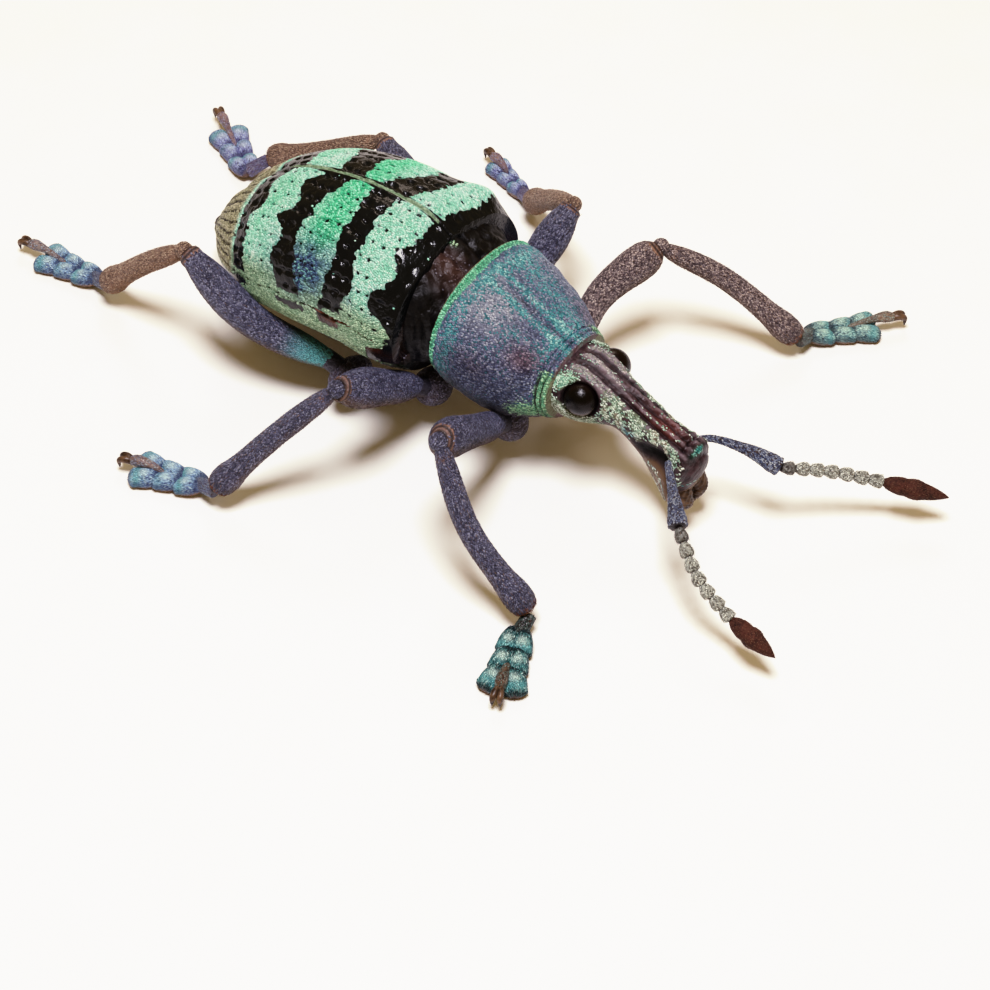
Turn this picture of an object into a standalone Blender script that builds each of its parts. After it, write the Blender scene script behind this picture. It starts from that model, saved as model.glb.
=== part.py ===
"""Eupholus magnificus, a banded weevil, standing at life size with its legs spread.

Sizes are in millimetres and become metres as each mesh is made. The beetle faces -Y, its left
side is towards +X and its feet rest on z = 0. Body pieces are drawn level, with y running back
and z up from the front of the wing cases' seam. One empty lifts and pitches them onto the legs,
and another centres the whole beetle on the origin."""

from math import cos, pi, radians, sin, tau

import bmesh
import bpy
import numpy as np
from mathutils import Matrix, Vector

# Driving dimensions
MM = 0.001
GAP = 0.3
CENTRE = (1.44, 0.17)
BODY_LIFT = 10.3
BODY_PITCH = -4.2

ELYTRA_LENGTH = 15.15
ELYTRA_HALF_WIDTH = 5.05
ELYTRA_DROP = 6.7
MARGIN_DEPTH = 4.9
BELLY_DEPTH = 7.9
THORAX_END = 6.6
PROTHORAX_HALF_WIDTH = 3.9
DOME_POWER = 1.96
WAIST_RISE = 0.24
TUCK = 0.93
VENTER_SHARE = 0.85
CREASE = 0.12
PLATE_ENDS = (0.3, 0.52, 0.67, 0.81)
# Lines along the wing cases, from front 0 to apex 1, as shares of the sizes above
WIDTH_LINE = ((0, 0.92), (0.06, 0.985), (0.2, 0.97), (0.42, 0.96), (0.65, 0.84), (0.83, 0.51), (0.94, 0.2),
              (1, 0.05))
SEAM_LINE = ((0, -0.08), (0.06, 0.02), (0.2, 0.08), (0.35, 0.07), (0.5, 0.0), (0.7, -0.22), (0.85, -0.52),
             (0.95, -0.82), (1, -0.97))
BELLY_LINE = ((-0.03, 0.94), (0.1, 0.99), (0.35, 1.0), (0.7, 0.98), (0.9, 0.95), (1, 0.935))
COLLAR_LINE = ((0, 0.955), (0.06, 1.0), (0.2, 1.0), (0.45, 0.95), (0.7, 0.82), (0.86, 0.67), (0.91, 0.61),
               (0.95, 0.615), (1, 0.575))
ROSTRUM_LINE = ((0, 1.12), (0.25, 0.9), (0.5, 0.86), (0.7, 1.02), (0.84, 1.36), (0.93, 1.36), (1, 1.02))
EYE_SIZE = (0.72, 0.79, 0.79)
EYE_PLACE = (1.26, -7.82, -5.26)

COXA_PLACES = {"front": (1.75, -4.0, -8.4), "middle": (2.1, 0.1, -8.1), "hind": (3.75, 3.7, -8.05)}
COXA_SIZES = {"front": (0.85, 0.95, 0.95), "middle": (0.95, 0.9, 0.9), "hind": (1.25, 0.85, 0.75)}
# Knee, ankle, heel and toe of each leg, how far its femur and tibia bow, its foot's share of full width
# and how far its last segment reaches past the toe
LEGS = {
    "front_right": ((-8.1, -5.6, 7.1), (-9.3, -11.45, 0.95), (-9.95, -11.4), (-13.1, -12.7),
                    (0, 0, 0), (-0.5, 0.4, 0), 1.0, -0.3),
    "middle_right": ((-7.8, 0.3, 6.3), (-12.3, 4.1, 1.05), (-12.0, 4.9), (-13.0, 8.35),
                     (0, 0, 0), (0, 0, 0.2), 0.95, -0.25),
    "hind_right": ((-5.1, 11.7, 6.1), (-5.4, 17.2, 0.95), (-5.1, 18.0), (-5.4, 21.6),
                   (-0.65, -0.05, -0.3), (0, 0, 0.2), 0.9, 0.35),
    "front_left": ((8.8, -5.5, 5.7), (11.8, -11.8, 0.95), (12.6, -11.6), (15.4, -13.95),
                   (0, 0.8, 0), (0.1, 0.3, 0.6), 0.85, 0.4),
    "middle_left": ((8.5, -0.7, 5.9), (11.9, 4.2, 0.95), (12.45, 5.0), (13.6, 7.85),
                    (0, 0, 0), (0, 0, 0.2), 0.6, -0.2),
    "hind_left": ((8.35, 10.85, 3.95), (6.2, 16.8, 1.15), (5.2, 17.2), (7.2, 20.6),
                  (0.4, 0, 0), (0, 0, -0.1), 0.95, 0.4),
}
KNEE_RADIUS = 0.5
# Each foot segment is a pair of lobes: where they start and end along the foot, how far out they start
# and end, their half width, and how high they start
SEGMENTS = (
    (0.03, 0.4, 0.18, 0.42, 0.44, 0.58),
    (0.31, 0.7, 0.2, 0.5, 0.46, 0.44),
    (0.6, 1.0, 0.22, 0.68, 0.54, 0.36),
)
ANTENNA_JOINTS = {
    "right": ((-1.45, -13.1, 4.45), (-3.6, -15.1, 3.95), (-5.05, -18.95, 2.0), (-5.35, -21.4, 1.6)),
    "left": ((1.45, -13.25, 4.0), (2.4, -16.5, 3.4), (5.4, -20.1, 2.2), (6.8, -22.75, 1.7)),
}
SCAPE_BOWS = {"right": (0, 0, 0.1), "left": (0, 0, 0.28)}
ANTENNA_BOWS = {"right": (-0.45, 0.05, 0.1), "left": (0, 0.1, 0.15)}
SIDES = {"right": -1, "left": 1}


# Finishes, as base colour, roughness and metallic value

FINISHES = {
    "elytra": ((0.20, 0.62, 0.42), 0.45, 0.0),
    "thorax": ((0.25, 0.33, 0.42), 0.55, 0.0),
    "underside": ((0.16, 0.14, 0.13), 0.6, 0.0),
    "head": ((0.17, 0.15, 0.16), 0.5, 0.0),
    "eye": ((0.01, 0.008, 0.008), 0.15, 0.0),
    "leg": ((0.22, 0.22, 0.33), 0.55, 0.0),
    "foot": ((0.28, 0.48, 0.60), 0.5, 0.0),
    "claw": ((0.10, 0.06, 0.04), 0.35, 0.0),
    "feeler": ((0.40, 0.42, 0.38), 0.6, 0.0),
    "club": ((0.10, 0.05, 0.04), 0.7, 0.0),
}


def finish(kind):
    """The material of one kind of surface, made when it is first asked for."""
    material = bpy.data.materials.get(kind)
    if material is None:
        colour, roughness, metallic = FINISHES[kind]
        material = bpy.data.materials.new(kind)
        material.use_nodes = True
        shader = material.node_tree.nodes["Principled BSDF"]
        shader.inputs["Base Color"].default_value = (*colour, 1.0)
        shader.inputs["Roughness"].default_value = roughness
        shader.inputs["Metallic"].default_value = metallic
    return material


# Shapes

def along(stops, t):
    """The value at t of a smooth line through stops of (position, value)."""
    at = np.array([stop[0] for stop in stops], float)
    value = np.array([stop[1] for stop in stops], float)
    slope = np.gradient(value, at, axis=0)
    k = min(max(int(np.searchsorted(at, t)) - 1, 0), len(at) - 2)
    span = at[k + 1] - at[k]
    u = (t - at[k]) / span
    start = (1 + 2 * u) * (1 - u) ** 2 * value[k] + u * (1 - u) ** 2 * span * slope[k]
    end = u * u * (3 - 2 * u) * value[k + 1] + u * u * (u - 1) * span * slope[k + 1]
    return start + end


def rounded(angle, power):
    """A point of a unit superellipse: power 2 is a circle, and more is squarer."""
    x, y = cos(angle), sin(angle)
    return abs(x) ** (2 / power) * (1 if x > 0 else -1), abs(y) ** (2 / power) * (1 if y > 0 else -1)


def closed_mesh(rings):
    """A closed mesh through rings of points. A ring of one point is a tip, and others get a flat cap."""
    mesh = bmesh.new()
    rings = [[Vector(point) for point in ring] for ring in rings]
    for end in (0, -1):
        if len(rings[end]) > 1:
            middle = [sum(rings[end], Vector()) / len(rings[end])]
            rings = [middle] + rings if end == 0 else rings + [middle]
    rows = [[mesh.verts.new(point) for point in ring] for ring in rings]
    for near, far in zip(rows, rows[1:]):
        count = max(len(near), len(far))
        for i in range(count):
            j = (i + 1) % count
            corners = (near[i % len(near)], near[j % len(near)], far[j % len(far)], far[i % len(far)])
            mesh.faces.new(dict.fromkeys(corners))
    bmesh.ops.recalc_face_normals(mesh, faces=mesh.faces)
    return mesh


def node(name, mesh, kind, parent, sharp=50):
    """The named object of one sub-part, made from a mesh in millimetres."""
    mesh.transform(Matrix.Scale(MM, 4))
    data = bpy.data.meshes.new(name)
    mesh.to_mesh(data)
    mesh.free()
    data.materials.append(finish(kind))
    data.shade_smooth()
    data.set_sharp_from_angle(angle=radians(sharp))
    piece = bpy.data.objects.new(name, data)
    bpy.context.scene.collection.objects.link(piece)
    piece.parent = parent
    return piece


def ball(place, size, columns=12, rows=8):
    """An ellipsoid about a point, with its poles on its own X axis."""
    rings = [[(place[0] - size[0], place[1], place[2])]]
    for i in range(1, rows):
        polar = pi * i / rows
        reach = sin(polar)
        rings.append(
            [
                (
                    place[0] - size[0] * cos(polar),
                    place[1] + size[1] * reach * cos(tau * j / columns),
                    place[2] + size[2] * reach * sin(tau * j / columns),
                )
                for j in range(columns)
            ]
        )
    rings.append([(place[0] + size[0], place[1], place[2])])
    return closed_mesh(rings)


def tube(path, radii, widths=None, rings=9, columns=10, tip=False):
    """A tapering limb along a smooth path, from its half heights and, where they differ, half widths."""
    points = []
    for i in range(rings):
        t = i / (rings - 1)
        centre = Vector(along(path, t))
        ahead = Vector(along(path, min(t + 0.02, 1))) - Vector(along(path, max(t - 0.02, 0)))
        ahead.normalize()
        side = ahead.cross(Vector((0, 0, 1))).normalized()
        top = side.cross(ahead)
        if tip and i == rings - 1:
            points.append([centre])
            continue
        radius = float(along(radii, t))
        width = float(along(widths, t)) if widths else radius
        points.append(
            [
                centre + width * cos(tau * j / columns) * side + radius * sin(tau * j / columns) * top
                for j in range(columns)
            ]
        )
    return closed_mesh(points)


def keep_largest(data):
    """Drops every closed surface of a mesh but the one that encloses most, such as a sealed hollow."""
    mesh = bmesh.new()
    mesh.from_mesh(data)
    unseen = set(mesh.verts)
    shells = []
    while unseen:
        shell, edge = set(), [unseen.pop()]
        while edge:
            vertex = edge.pop()
            shell.add(vertex)
            near = {link.other_vert(vertex) for link in vertex.link_edges} & unseen
            unseen -= near
            edge += near
        low, high = (np.array([f(v.co[k] for v in shell) for k in range(3)]) for f in (min, max))
        shells.append((float(np.prod(high - low)), len(shells), shell))
    for _, _, shell in sorted(shells, key=lambda entry: entry[:2])[:-1]:
        bmesh.ops.delete(mesh, geom=list(shell), context="VERTS")
    mesh.to_mesh(data)
    mesh.free()


def boolean(base, tools, operation, solver="EXACT"):
    """Joins tools to a base, or cuts them from it, and removes them."""
    group = bpy.data.collections.new("tools")
    bpy.context.scene.collection.children.link(group)
    group.hide_render = True
    for tool in tools:
        bpy.context.scene.collection.objects.unlink(tool)
        group.objects.link(tool)
        tool.display_type = "WIRE"
        tool.hide_render = True
    modifier = base.modifiers.new(operation.title(), "BOOLEAN")
    modifier.operation = operation
    modifier.operand_type = "COLLECTION"
    modifier.collection = group
    modifier.solver = solver
    graph = bpy.context.evaluated_depsgraph_get()
    result = bpy.data.meshes.new_from_object(base.evaluated_get(graph))
    base.modifiers.clear()
    keep_largest(result)
    base.data = result
    result.set_sharp_from_angle(angle=radians(50))
    for tool in list(tools):
        bpy.data.objects.remove(tool)
    bpy.data.collections.remove(group)


def clear_of(base, places, sizes, name):
    """Cuts hollows from a base that keep it a gap away from balls set into it."""
    cutters = []
    for place, size in zip(places, sizes):
        hollow = ball(place, [radius + GAP for radius in size])
        cutters.append(node(name, hollow, "underside", base.parent))
    boolean(base, cutters, "DIFFERENCE")


# Body

def body_ring(top, bottom, half_width, waist=0.5, powers=(2.1, 2.1), columns=24, groove=0.0):
    """A section from its top and bottom (y, z) points, widest at the waist's share of its height."""
    top, bottom = np.array(top, float), np.array(bottom, float)
    middle = bottom + (top - bottom) * waist
    ring = []
    for i in range(columns):
        angle = tau * i / columns + pi / 2
        x, rise = rounded(angle, powers[0] if sin(angle) >= 0 else powers[1])
        reach = (top - middle) if rise >= 0 else (middle - bottom)
        y, z = middle + rise * reach
        if i == 0:
            z -= groove
        ring.append((half_width * x, y, z))
    return ring


def elytra_shape(t):
    """Half width, seam height, margin height and y of the wing cases, from front 0 to apex 1."""
    half_width = ELYTRA_HALF_WIDTH * along(WIDTH_LINE, t)
    seam = ELYTRA_DROP * along(SEAM_LINE, t)
    margin = -MARGIN_DEPTH + (MARGIN_DEPTH - ELYTRA_DROP - 0.35) * t**3
    return float(half_width), float(seam), float(margin), ELYTRA_LENGTH * t


def elytron(side, rows=20, columns=11):
    """Half of the domed shield: a section that tucks in to its margin, flat beneath and at the seam."""
    rings = []
    for i in range(rows + 1):
        t = (1 - cos(pi * i / rows)) / 2
        half_width, seam, margin, y = elytra_shape(t)
        waist = margin + WAIST_RISE * (seam - margin)
        section = []
        for j in range(columns):
            x, rise = rounded(pi / 2 * (1 - j / (columns - 1)), DOME_POWER)
            section.append((max(half_width * x, GAP / 2), waist + rise * (seam - waist)))
        section.append((half_width * (1 + TUCK) / 2 + 0.02, (waist + margin) / 2))
        section.append((half_width * TUCK, margin))
        section.append((half_width * TUCK / 2, margin))
        section.append((GAP / 2, margin))
        rings.append([(side * x, y, z) for x, z in section])
    return closed_mesh(rings)


def bowl_ring(y, rim, half_width, depth, power=1.9, columns=15, lean=0.0):
    """A section that is flat on top, at the rim, and bowed beneath."""
    ring = [(half_width / 2, y, rim), (0, y, rim), (-half_width / 2, y, rim)]
    for i in range(columns):
        x, drop = rounded(pi + pi * i / (columns - 1), power)
        ring.append((half_width * x, y - lean * drop, rim + drop * (rim - depth)))
    return ring


def venter(start, end, rows, creases=(), lean=0.0):
    """The body under the wing cases from y start to end, creased where its plates meet."""
    rings = []
    edges = [crease + d for crease in creases for d in (-CREASE, CREASE)]
    between = [start + (end - start) * i / rows for i in range(rows + 1)]
    between = [y for y in between if all(abs(y - edge) > 2 * CREASE for edge in edges)]
    for y in sorted(edges + between):
        t = y / ELYTRA_LENGTH
        half_width, _, margin, _ = elytra_shape(max(t, 0.0))
        depth = -BELLY_DEPTH * float(along(BELLY_LINE, t))
        step = CREASE if any(0 < crease - y < 2 * CREASE for crease in creases) else 0.0
        slant = lean * max(0.0, 1 - 3 * t)
        rings.append(bowl_ring(y, margin - GAP, half_width * VENTER_SHARE, depth + step, lean=slant))
    return closed_mesh(rings)


def make_trunk(body):
    """Wing cases, the body beneath them, the neck before them and the prothorax."""
    for name, side in SIDES.items():
        node(f"elytron_{name}", elytron(side), "elytra", body)

    pterothorax = node("pterothorax", venter(0.0, THORAX_END, 8, lean=0.55), "underside", body)
    start = THORAX_END + GAP
    creases = [start + (ELYTRA_LENGTH - THORAX_END) * share for share in PLATE_ENDS]
    node("abdomen", venter(start, ELYTRA_LENGTH - 0.8, 10, creases), "underside", body)

    neck = []
    for t in (0, 0.35, 0.7, 1):
        top = along(((0, (-1.2, -1.75)), (0.5, (-0.8, -1.35)), (1, (-GAP, -0.95))), t)
        bottom = along(((0, (-0.95, -6.6)), (1, (-GAP, -6.9))), t)
        neck.append(body_ring(top, bottom, float(along(((0, 3.15), (1, 3.5)), t))))
    node("mesonotum", closed_mesh(neck), "thorax", body)

    rings = []
    for t in (0, 0.03, 0.08, 0.2, 0.32, 0.44, 0.56, 0.68, 0.78, 0.86, 0.91, 0.95, 1):
        top = along(((0, (-1.5, -1.28)), (0.2, (-2.6, -1.72)), (0.75, (-5.4, -3.2)), (1, (-6.7, -3.78))), t)
        bottom = along(((0, (-1.35, -7.2)), (0.5, (-3.9, -8.2)), (1, (-6.55, -7.6))), t)
        half_width = PROTHORAX_HALF_WIDTH * float(along(COLLAR_LINE, t))
        groove = 0.14 * sin(pi * t)
        rings.append(body_ring(top, bottom, half_width, 0.54, (2.15, 1.75), 28, groove))
    prothorax = node("prothorax", closed_mesh(rings), "thorax", body)

    for base, row in ((prothorax, "front"), (pterothorax, "middle"), (pterothorax, "hind")):
        x, y, z = COXA_PLACES[row]
        clear_of(base, [(side * x, y, z) for side in (-1, 1)], [COXA_SIZES[row]] * 2, "coxal_hollow")


def make_head(body):
    """Head, eyes, rostrum with its grooves for the antennae, and mandibles."""
    rings = []
    for t in (0, 0.2, 0.4, 0.6, 0.8, 1):
        top = along(((0, (-6.98, -4.1)), (0.35, (-7.6, -3.98)), (1, (-8.9, -4.56))), t)
        bottom = along(((0, (-6.85, -7.2)), (0.5, (-7.7, -7.3)), (1, (-8.75, -7.1))), t)
        half_width = float(along(((0, 1.85), (0.3, 1.78), (0.6, 1.5), (1, 1.17)), t))
        rings.append(body_ring(top, bottom, half_width, 0.55, (2.3, 2.1), 20))
    head = node("head", closed_mesh(rings), "head", body)
    eyes = [(side * EYE_PLACE[0], *EYE_PLACE[1:]) for side in SIDES.values()]
    for (name, _), place in zip(SIDES.items(), eyes):
        node(f"eye_{name}", ball(place, EYE_SIZE, 14, 8), "eye", body)
    clear_of(head, eyes, [EYE_SIZE] * 2, "eye_hollow")

    rings = []
    for t in (0, 0.12, 0.25, 0.38, 0.5, 0.6, 0.7, 0.78, 0.86, 0.94, 1):
        top = along(((0, (-9.2, -4.7)), (0.5, (-11.2, -5.7)), (0.85, (-12.7, -6.3)), (1, (-13.25, -6.75))), t)
        bottom = along(((0, (-9.05, -7.05)), (0.4, (-10.4, -8.2)), (0.75, (-11.65, -10.15)),
                        (0.9, (-12.0, -10.0)), (1, (-12.15, -9.25))), t)
        half_width = float(along(ROSTRUM_LINE, t))
        rings.append(body_ring(top, bottom, half_width, 0.56, (2.7, 2.2), 20, 0.1 * sin(pi * t)))
    rostrum = node("rostrum", closed_mesh(rings), "head", body)
    scrobes = []
    for side in SIDES.values():
        path = ((0, (side * 1.52, -12.9, -7.05)), (1, (side * 1.22, -10.4, -6.6)))
        scrobes.append(node("scrobe", tube(path, ((0, 0.42), (0.5, 0.34), (1, 0.2)), None, 5, 8), "head", body))
    boolean(rostrum, scrobes, "DIFFERENCE")

    for name, side in SIDES.items():
        path = ((0, (side * 0.57, -12.85, -9.15)), (0.5, (side * 0.57, -12.75, -9.75)),
                (1, (side * 0.17, -12.55, -10.35)))
        mandible = tube(path, ((0, 0.4), (0.5, 0.36), (1, 0.1)), None, 5, 8, tip=True)
        node(f"mandible_{name}", mandible, "claw", body)


# Legs

def bowed(start, end, bow=(0, 0, 0)):
    """A path from start to end, bowed in the middle."""
    return ((0, start), (0.5, (start + end) / 2 + Vector(bow)), (1, end))


def hook(base, ahead, side, spread):
    """One claw: a hook that leaves its base ahead and outwards and curls down to a point."""
    up = Vector((0, 0, 1))
    out = side * spread
    path = (
        (0, base),
        (0.4, base + 0.3 * ahead + 0.32 * out + 0.08 * up),
        (0.75, base + 0.58 * ahead + 0.5 * out - 0.04 * up),
        (1, base + 0.68 * ahead + 0.52 * out - 0.3 * up),
    )
    return tube(path, ((0, 0.2), (0.5, 0.15), (1, 0.04)), rings=6, columns=7, tip=True)


def make_foot(name, heel, toe, spread, last_reach, parent):
    """Three segments of two lobes each, the slim last segment and the claws, with a flat sole."""
    heel, toe = Vector((*heel, 0)), Vector((*toe, 0))
    ahead = (toe - heel).normalized()
    side = ahead.cross(Vector((0, 0, 1)))
    reach = (toe - heel).length

    def at(forward, across=0.0, height=0.0):
        return heel + forward * ahead + across * spread * side + Vector((0, 0, height))

    pieces = []
    for start, end, near, far, half_width, height in SEGMENTS:
        widths = [(t, share * half_width * spread) for t, share in ((0, 0.5), (0.4, 1), (0.8, 0.93), (1, 0.4))]
        for across in (-1, 1):
            path = bowed(at(start * reach, near * across, height), at(end * reach, far * across, 0.3))
            pieces.append(tube(path, ((0, 0.22), (0.35, 0.38), (0.8, 0.38), (1, 0.16)), widths, 5, 8))
    end = reach + last_reach
    shaft = ((0, at(0.62 * reach, 0, 0.5)), (0.6, at(end - 0.5, 0, 0.7)), (1, at(end, 0, 0.7)))
    pieces.append(tube(shaft, ((0, 0.2), (0.5, 0.25), (1, 0.3)), rings=5, columns=8))
    objects = [node("segment", piece, "foot", parent) for piece in pieces]
    boolean(objects[0], objects[1:], "UNION", "MANIFOLD")
    floor = bmesh.new()
    bmesh.ops.create_cube(floor, size=1.0)
    bmesh.ops.scale(floor, verts=floor.verts, vec=(12, 12, 2))
    bmesh.ops.translate(floor, verts=floor.verts, vec=(*toe.xy, -1))
    boolean(objects[0], [node("floor", floor, "foot", parent)], "DIFFERENCE", "MANIFOLD")
    objects[0].name = f"tarsus_{name}"

    base = at(end + GAP + 0.12, 0, 0.66)
    hooks = [node(f"claws_{name}", hook(base, ahead, side, s), "claw", parent) for s in (-1, 1)]
    boolean(hooks[0], hooks[1:], "UNION", "MANIFOLD")


def make_leg(name, body_frame, beetle):
    """Coxa, femur, tibia and foot of one leg, each a gap away from the last."""
    row, side_name = name.split("_")
    x, y, z = COXA_PLACES[row]
    coxa = Vector((SIDES[side_name] * x, y, z))
    node(f"coxa_{name}", ball(coxa, COXA_SIZES[row]), "leg", body_frame)
    hip = Matrix.Rotation(radians(BODY_PITCH), 3, "X") @ coxa + Vector((0, 0, BODY_LIFT))
    knee, ankle, heel, toe, thigh_bow, shin_bow, spread, last_reach = LEGS[name]
    knee, ankle = Vector(knee), Vector(ankle)

    thigh = (knee - hip).normalized()
    coxa_reach = 1 / Vector([part / size for part, size in zip(thigh, COXA_SIZES[row])]).length
    start = hip + thigh * (coxa_reach + GAP)
    radii = ((0, 0.45), (0.12, 0.66), (0.45, 0.86), (0.72, 0.95), (0.86, 0.8), (0.94, 0.62), (1, 0.42))
    widths = [(t, 0.84 * radius) for t, radius in radii]
    femur = tube(bowed(start, knee - thigh * 0.1, thigh_bow), radii, widths, 11, 10)
    node(f"femur_{name}", femur, "leg", beetle)

    shin = (ankle - knee).normalized()
    start = knee + shin * (KNEE_RADIUS + GAP)
    radii = ((0, 0.38), (0.1, 0.47), (0.5, 0.5), (0.8, 0.56), (0.93, 0.66), (1, 0.5))
    node(f"tibia_{name}", tube(bowed(start, ankle - shin * 0.15, shin_bow), radii, None, 10, 10), "leg", beetle)
    make_foot(name, heel, toe, spread, last_reach, beetle)


# Antennae

def make_antenna(name, beetle):
    """Scape, seven-beaded funicle and pointed club."""
    root, elbow, wrist, tip = [Vector(point) for point in ANTENNA_JOINTS[name]]
    radii = ((0, 0.26), (0.3, 0.25), (0.75, 0.38), (0.95, 0.42), (1, 0.34))
    node(f"scape_{name}", tube(bowed(root, elbow, SCAPE_BOWS[name]), radii, None, 8, 9), "leg", beetle)

    beads = 7
    ahead = (wrist - elbow).normalized()
    path = bowed(elbow + ahead * GAP, wrist, ANTENNA_BOWS[name])
    radii = []
    for bead in range(beads):
        radii += [(bead / beads, 0.25), ((bead + 0.35) / beads, 0.29), ((bead + 0.75) / beads, 0.33)]
    radii.append((1, 0.25))
    node(f"funicle_{name}", tube(path, radii, None, 4 * beads + 1, 9), "feeler", beetle)

    ahead = (tip - wrist).normalized()
    radii = ((0, 0.27), (0.2, 0.38), (0.45, 0.46), (0.7, 0.36), (1, 0.05))
    node(f"club_{name}", tube(bowed(wrist + ahead * GAP, tip), radii, None, 8, 10, tip=True), "club", beetle)


def main():
    for item in list(bpy.data.objects):
        bpy.data.objects.remove(item)
    beetle = bpy.data.objects.new("beetle", None)
    beetle.location = (-CENTRE[0] * MM, -CENTRE[1] * MM, 0)
    body_frame = bpy.data.objects.new("body_frame", None)
    body_frame.parent = beetle
    body_frame.location = (0, 0, BODY_LIFT * MM)
    body_frame.rotation_euler = (radians(BODY_PITCH), 0, 0)
    for empty in (beetle, body_frame):
        bpy.context.scene.collection.objects.link(empty)
    bpy.context.view_layer.update()
    make_trunk(body_frame)
    make_head(body_frame)
    for name in LEGS:
        make_leg(name, body_frame, beetle)
    for name in SIDES:
        make_antenna(name, beetle)


main()
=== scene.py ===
"""Looks of a life-size banded weevil, Eupholus magnificus, standing on a pale floor.

Sizes are in millimetres unless a name says otherwise. The beetle faces -Y and stands on z = 0. Its body
is drawn level, from the front of the wing cases' seam, and then lifted and pitched onto its legs."""

from collections import namedtuple
from math import cos, pi, radians, sin, tau

import bpy
import numpy as np
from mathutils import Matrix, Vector


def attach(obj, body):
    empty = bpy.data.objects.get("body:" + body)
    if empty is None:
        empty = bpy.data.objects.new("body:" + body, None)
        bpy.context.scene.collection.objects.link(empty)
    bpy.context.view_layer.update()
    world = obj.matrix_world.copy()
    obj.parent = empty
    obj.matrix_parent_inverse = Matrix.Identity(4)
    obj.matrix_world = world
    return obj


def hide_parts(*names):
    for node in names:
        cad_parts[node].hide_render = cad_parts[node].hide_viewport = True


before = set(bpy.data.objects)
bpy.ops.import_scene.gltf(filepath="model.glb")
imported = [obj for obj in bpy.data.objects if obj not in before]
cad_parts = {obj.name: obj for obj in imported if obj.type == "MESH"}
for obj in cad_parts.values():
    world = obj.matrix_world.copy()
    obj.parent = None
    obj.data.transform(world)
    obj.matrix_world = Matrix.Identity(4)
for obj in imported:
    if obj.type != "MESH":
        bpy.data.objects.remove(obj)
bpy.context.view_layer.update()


# Wing cases. Each is a hard domed shell with ten rows of pits, bare and glossy black where no scales
# grow, and packed with small pearly green scales in three bands. The two meet along the seam.

MM = 0.001
SIDES = {"right": -1, "left": 1}
BODY_LIFT, BODY_PITCH = 10.3, radians(-4.2)
CENTRE = np.array((1.44, 0.17, 0.0))  # The middle of the posed beetle, from the front of the seam
ELYTRA_LENGTH, ELYTRA_HALF_WIDTH, ELYTRA_DROP, MARGIN_DEPTH = 15.15, 5.05, 6.7, 4.9
WAIST_RISE, TUCK, DOME_POWER, SEAM_GAP = 0.24, 0.93, 1.96, 0.03
WIDTH_LINE = ((0, 0.92), (0.06, 0.985), (0.2, 0.97), (0.42, 0.96), (0.65, 0.84), (0.83, 0.51), (0.94, 0.2),
              (1, 0.05))
SEAM_LINE = ((0, -0.08), (0.06, 0.02), (0.2, 0.08), (0.35, 0.07), (0.5, 0.0), (0.7, -0.22), (0.85, -0.52),
             (0.95, -0.82), (1, -0.97))
PIT_ROWS, PIT_STEP, PIT_RADIUS, PIT_DEPTH = 10, 0.045, 0.1, 0.06
PIT_SEEDS = {"right": 11, "left": 7}
WING_SCALES = {"size": (0.075, 0.052, 0.016), "spacing": 0.098, "lift": 0.14}
# Front and rear edge of each green band: (share of the way from seam to margin, share of the length)
BANDS = {
    "right": (
        (((0, 0.05), (0.22, 0.05), (0.32, 0.078), (0.42, 0.045), (0.6, 0.075), (0.7, 0.085), (0.8, 0.03),
          (1, 0.02)),
         ((0, 0.19), (0.25, 0.182), (0.5, 0.178), (0.6, 0.163), (0.72, 0.165), (0.85, 0.185), (1, 0.19))),
        (((0, 0.268), (0.25, 0.264), (0.5, 0.255), (0.6, 0.248), (0.8, 0.26), (1, 0.27)),
         ((0, 0.358), (0.15, 0.375), (0.35, 0.402), (0.47, 0.405), (0.65, 0.39), (0.85, 0.345), (1, 0.33))),
        (((0, 0.455), (0.08, 0.475), (0.16, 0.508), (0.25, 0.483), (0.33, 0.468), (0.42, 0.515), (0.5, 0.473),
          (0.7, 0.475), (0.85, 0.445), (1, 0.44)),
         ((0, 0.6), (0.15, 0.625), (0.35, 0.607), (0.45, 0.63), (0.6, 0.62), (0.75, 0.6), (1, 0.58))),
    ),
    "left": (
        (((0, 0.05), (0.15, 0.035), (0.3, 0.03), (0.42, 0.03), (0.6, 0.06), (0.8, 0.03), (1, 0.02)),
         ((0, 0.168), (0.1, 0.15), (0.2, 0.125), (0.35, 0.12), (0.55, 0.14), (0.75, 0.17), (1, 0.19))),
        (((0, 0.275), (0.1, 0.248), (0.2, 0.215), (0.32, 0.2), (0.5, 0.21), (0.8, 0.25), (1, 0.27)),
         ((0, 0.328), (0.1, 0.34), (0.22, 0.352), (0.35, 0.335), (0.6, 0.36), (0.85, 0.345), (1, 0.33))),
        (((0, 0.435), (0.2, 0.446), (0.3, 0.47), (0.42, 0.49), (0.6, 0.47), (0.8, 0.45), (1, 0.44)),
         ((0, 0.565), (0.2, 0.585), (0.4, 0.6), (0.7, 0.61), (1, 0.59))),
    ),
}
APEX_BAND = ((0, 0.69), (0.2, 0.69), (0.4, 0.685), (0.6, 0.67), (0.8, 0.655), (1, 0.65))


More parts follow.
